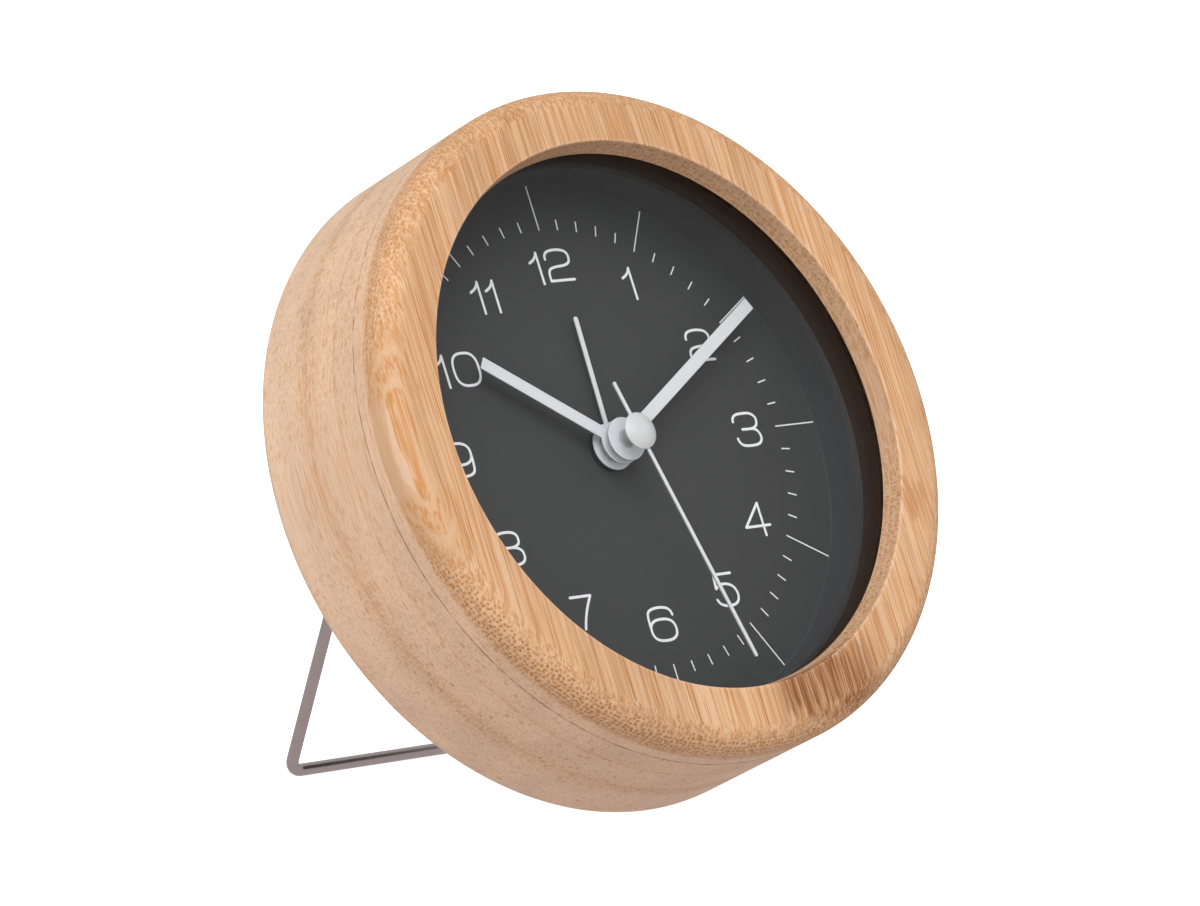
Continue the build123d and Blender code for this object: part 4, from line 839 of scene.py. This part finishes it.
# Printed marks on the back, drawn as seen from behind: u to the right, v up
rearLevel = dialBox("movement_housing")[0].z
markSizes = {
    "stroke": 0.24, "lift": 0.02, "letter": 0.85, "letterGap": 2.0, "onAt": (-2.6, 17.6), "offAt": (5.2, 17.6),
    "timeKnob": (-22.39, -6.0), "alarmKnob": (13.05, -6.09), "arrowRadius": 6.2, "arrowHead": 1.1,
    "iconOff": (9.2, 3.4), "icon": 1.25, "plusAt": (-22.5, -21.0), "minusAt": (22.5, -21.0), "sign": 1.4,
}
letters = {
    "O": [oval((0, 0), (0.85, 1), 90, 450)],
    "N": [[(-0.75, -1), (-0.75, 1)], [(-0.75, 1), (0.75, -1)], [(0.75, -1), (0.75, 1)]],
    "F": [[(-0.6, -1), (-0.6, 1)], [(-0.6, 1), (0.65, 1)], [(-0.6, 0.05), (0.5, 0.05)]],
    "bell": [smoothLine([(-1.1, -0.7), (-0.8, -0.3), (-0.7, 0.4), (0, 1.05), (0.7, 0.4), (0.8, -0.3), (1.1, -0.7)]),
             [(-1.1, -0.7), (1.1, -0.7)], [(-0.25, -1.1), (0.25, -1.1)]],
    "clock": [oval((0, 0), (1.1, 1.1), 90, 450, 2.0), [(0, 0), (0, 0.65)], [(0, 0), (0.45, -0.25)]],
    "plus": [[(-1, 0), (1, 0)], [(0, -1), (0, 1)]],
    "minus": [[(-1, 0), (1, 0)]],
}


def arrowStrokes(middle, size, start, end, heads):
    line = arc(middle, size["arrowRadius"], start, end, 24)
    strokes = [line]
    for tip, turn, way in ((line[-1], end, 1), (line[0], start, -1))[:heads]:
        for side in (25, -25):
            back = radians(turn + way * (side - 90))
            strokes.append([tip, (tip[0] + size["arrowHead"] * cos(back), tip[1] + size["arrowHead"] * sin(back))])
    return strokes


def makeMarks(name, strokes, body, size):
    shape = bmesh.new()
    for order, stroke in enumerate(strokes):
        behind = [(-spot[0], spot[1]) for spot in stroke]
        addStroke(shape, behind, size["stroke"] / 2, rearLevel - size["lift"] - 0.002 * (order % 5), rearLevel)
    bmesh.ops.recalc_face_normals(shape, faces=shape.faces)
    asPiece(name, toMesh(shape), printWhite, body)


def placed(sign, middle, scale):
    return [[(middle[0] + scale * spot[0], middle[1] + scale * spot[1]) for spot in stroke] for stroke in letters[sign]]


def makeRearMarks(size):
    strokes = []
    for word, (u, v) in (("ON", size["onAt"]), ("OFF", size["offAt"])):
        for index, letter in enumerate(word):
            shift = (index - (len(word) - 1) / 2) * size["letterGap"]
            strokes += placed(letter, (u + shift, v), size["letter"])
    for knob, sign, heads, side in (("timeKnob", "clock", 2, 1), ("alarmKnob", "bell", 1, -1)):
        u, v = size[knob]
        strokes += arrowStrokes((u, v), size, 130, 50, heads) + placed(sign, (u + side * size["iconOff"][0], v + size["iconOff"][1]), size["icon"])
    makeMarks("rearMarks", strokes, "case", size)
    signs = placed("plus", size["plusAt"], size["sign"]) + placed("minus", size["minusAt"], size["sign"])
    makeMarks("doorMarks", signs, "door", size)


makeRearMarks(markSizes)

# Grip ribs of door and switch: rows of half-sunk rods
ribSizes = {
    "doorRibs": {"Count": 5, "Pitch": 1.1, "Length": 9.0, "Width": 0.6, "Height": 0.5},
    "switchRibs": {"Count": 3, "Pitch": 1.2, "Length": 2.4, "Width": 0.5, "Height": 0.4},
}


def makeRibs(name, spot, turn, finish, body):
    labels = [("Count", "NodeSocketInt")] + [(key, "NodeSocketFloat") for key in ("Pitch", "Length", "Width", "Height")]
    tree, enter, leave = newTree(name, labels)
    index = tree.nodes.new("GeometryNodeInputIndex").outputs[0]
    middle = calc(tree, "MULTIPLY", calc(tree, "SUBTRACT", enter["Count"], 1.0), 0.5)
    step = calc(tree, "MULTIPLY", calc(tree, "SUBTRACT", index, middle), enter["Pitch"])
    place = addNode(tree, "ShaderNodeCombineXYZ", {1: step}).outputs[0]
    points = addNode(tree, "GeometryNodePoints", {"Count": enter["Count"], "Position": place}).outputs[0]
    rod = addNode(tree, "GeometryNodeMeshCylinder", {"Vertices": 16, "Radius": 0.5, "Depth": 1.0}).outputs[0]
    scale = addNode(tree, "ShaderNodeCombineXYZ", {0: enter["Height"], 1: enter["Width"], 2: enter["Length"]}).outputs[0]
    rods = addNode(tree, "GeometryNodeInstanceOnPoints", {
        "Points": points, "Instance": rod, "Rotation": (0, pi / 2, 0), "Scale": scale,
    }).outputs[0]
    closeTree(tree, rods, finish, leave)
    mesh = grown(tree, ribSizes[name], place=toRow @ Matrix.Translation(spot) @ Matrix.Rotation(turn, 4, "Z"))
    mesh.shade_smooth()
    mesh.set_sharp_from_angle(angle=radians(50))
    asPiece(name, mesh, finish, body)


switchLow, switchHigh = dialBox("alarm_switch")
makeRibs("doorRibs", (0, -19.2, rearLevel), 0, coverPlastic, "door")
makeRibs("switchRibs", ((switchLow.x + switchHigh.x) / 2, (switchLow.y + switchHigh.y) / 2, switchLow.z), pi / 2, knobPlastic, "switch")
print("rear marked and ribbed")

# Works inside: CAD nodes keep their shape and get their finishes
innerPlastics = {
    "movement_front": movementLook, "dial_plate": coverLook,
    "coil_bobbin": {"Colour": tint(226, 220, 204), "Grain": 2.0, "Rough": 0.4, "Spread": 0.08, "depth": 0.00002},
    "circuit_chip": {"Colour": tint(22, 22, 24), "Grain": 1.2, "Rough": 0.25, "Spread": 0.10, "depth": 0.00003},
    "circuit_board": {"Colour": tint(38, 92, 58), "Grain": 1.4, "Rough": 0.4, "Spread": 0.2, "depth": 0.00001},
    "battery": {"Colour": tint(58, 70, 92), "bands": ((0, 17.0, tint(176, 178, 182)),), "Grain": 0.6, "Rough": 0.3, "Spread": 0.1, "depth": 0.00001},
}
wheelLook = {"Colour": tint(232, 228, 216), "bands": ((2, 0.3, tint(206, 208, 212)),), "Grain": 2.2, "Rough": 0.36, "Spread": 0.08, "depth": 0.00002}
for node in ("seconds_wheel", "third_wheel", "minute_wheel", "motion_wheel", "hour_wheel", "alarm_wheel", "intermediate_wheel"):
    innerPlastics[node] = wheelLook
innerMetals = {
    "rotor": {"Colour": tint(92, 90, 90), "Stretch": (1.0, 1.0, 6.0), "Rough": 0.4, "Spread": 0.2, "depth": 0.00001},
    "stator": {"Colour": tint(150, 148, 146), "Stretch": (0.4, 5.0, 5.0), "Rough": 0.35, "Spread": 0.2, "depth": 0.00001},
    "coil_winding": {"Colour": tint(196, 112, 62), "Stretch": (14.0, 0.3, 0.3), "Rough": 0.3, "Spread": 0.4, "depth": 0.00005},
    "quartz_crystal": {"Colour": tint(196, 194, 188), "Stretch": (0.5, 6.0, 6.0), "Rough": 0.25, "Spread": 0.15, "depth": 0.000005},
    "buzzer": {"Colour": tint(206, 174, 104), "Stretch": (3.0, 3.0, 1.0), "Rough": 0.3, "Spread": 0.2, "depth": 0.000006},
    "contact_minus": {"Colour": tint(198, 196, 190), "Stretch": (4.0, 0.5, 4.0), "Rough": 0.28, "Spread": 0.2, "depth": 0.000006},
    "contact_plus": {"Colour": tint(198, 196, 190), "Stretch": (4.0, 0.5, 4.0), "Rough": 0.28, "Spread": 0.2, "depth": 0.000006},
}
for looks, make in ((innerPlastics, plasticFinish), (innerMetals, metalFinish)):
    for node, look in looks.items():
        words = node.split("_")
        label = words[0] + "".join(word.title() for word in words[1:]) + "Finish"
        cadNodes[node].data.materials.clear()
        cadNodes[node].data.materials.append(make(label, look))
print("inner finishes set")

# Floor, light and camera
floorLook = {"size": 60.0, "Colour": tint(250, 250, 250), "glow": 0.85}
floorMesh = bpy.data.meshes.new("floor")
floorHalf = floorLook["size"] / 2
floorMesh.from_pydata([(-floorHalf, -floorHalf, 0), (floorHalf, -floorHalf, 0), (floorHalf, floorHalf, 0), (-floorHalf, floorHalf, 0)], [], [(0, 1, 2, 3)])
floor = bpy.data.objects.new("floor", floorMesh)
scene.collection.objects.link(floor)
floorFinish, floorTree, floorSurface = newFinish("floorPaper", {"Base Color": floorLook["Colour"], "Roughness": 0.9, "Specular IOR Level": 0.0,
    "Emission Color": floorLook["Colour"], "Emission Strength": floorLook["glow"]})
floorMesh.materials.append(floorFinish)
floor.visible_diffuse = False  # the light from below is the world's own
floor.visible_glossy = False

lightLook = {
    "sky": (0.60, 0.60, 0.60, 1), "ground": (0.61, 0.56, 0.56, 1),
    # direction towards the lamp, strength, angle across
    "key": ((-0.42, -0.66, 0.90), 1.62, 44.0), "fill": ((-1.0, 0.15, 0.45), 0.34, 60.0),
    "low": ((-0.75, -0.62, 0.10), 0.55, 50.0),
}
world = bpy.data.worlds.new("studio")
world.use_nodes = True
upWay = parts(world.node_tree, world.node_tree.nodes.new("ShaderNodeTexCoord").outputs["Generated"])[2]
skyShare = fade(world.node_tree, upWay, -0.5, 0.1)
dome = blendColour(world.node_tree, skyShare, lightLook["ground"], lightLook["sky"])
world.node_tree.links.new(dome, world.node_tree.nodes["Background"].inputs[0])
scene.world = world
# The pane mirrors the sky, not the lamps' round faces
paneOnly = bpy.data.collections.new("paneOnly")
paneOnly.objects.link(cadNodes["lens"])
paneOnly.collection_objects[0].light_linking.link_state = "EXCLUDE"
for label in ("key", "fill", "low"):
    spot, strength, wide = lightLook[label]
    lamp = bpy.data.lights.new(label, "SUN")
    lamp.energy = strength
    lamp.angle = radians(wide)
    holder = bpy.data.objects.new(label, lamp)
    holder.rotation_euler = (-Vector(spot)).to_track_quat("-Z", "Y").to_euler()
    holder.light_linking.receiver_collection = paneOnly
    scene.collection.objects.link(holder)

cameraLook = {"place": (-0.751707, -0.852022, 0.214676), "turn": (82.3701, -0.0941, -41.5470), "lens": 191.686}
camera = bpy.data.objects.new("camera", bpy.data.cameras.new("camera"))
camera.location = cameraLook["place"]
camera.rotation_euler = [radians(turn) for turn in cameraLook["turn"]]
camera.data.lens = cameraLook["lens"]
camera.data.sensor_fit = "HORIZONTAL"
camera.data.sensor_width = 36.0
scene.collection.objects.link(camera)
scene.camera = camera
scene.view_settings.view_transform = "Standard"
print("stage set")
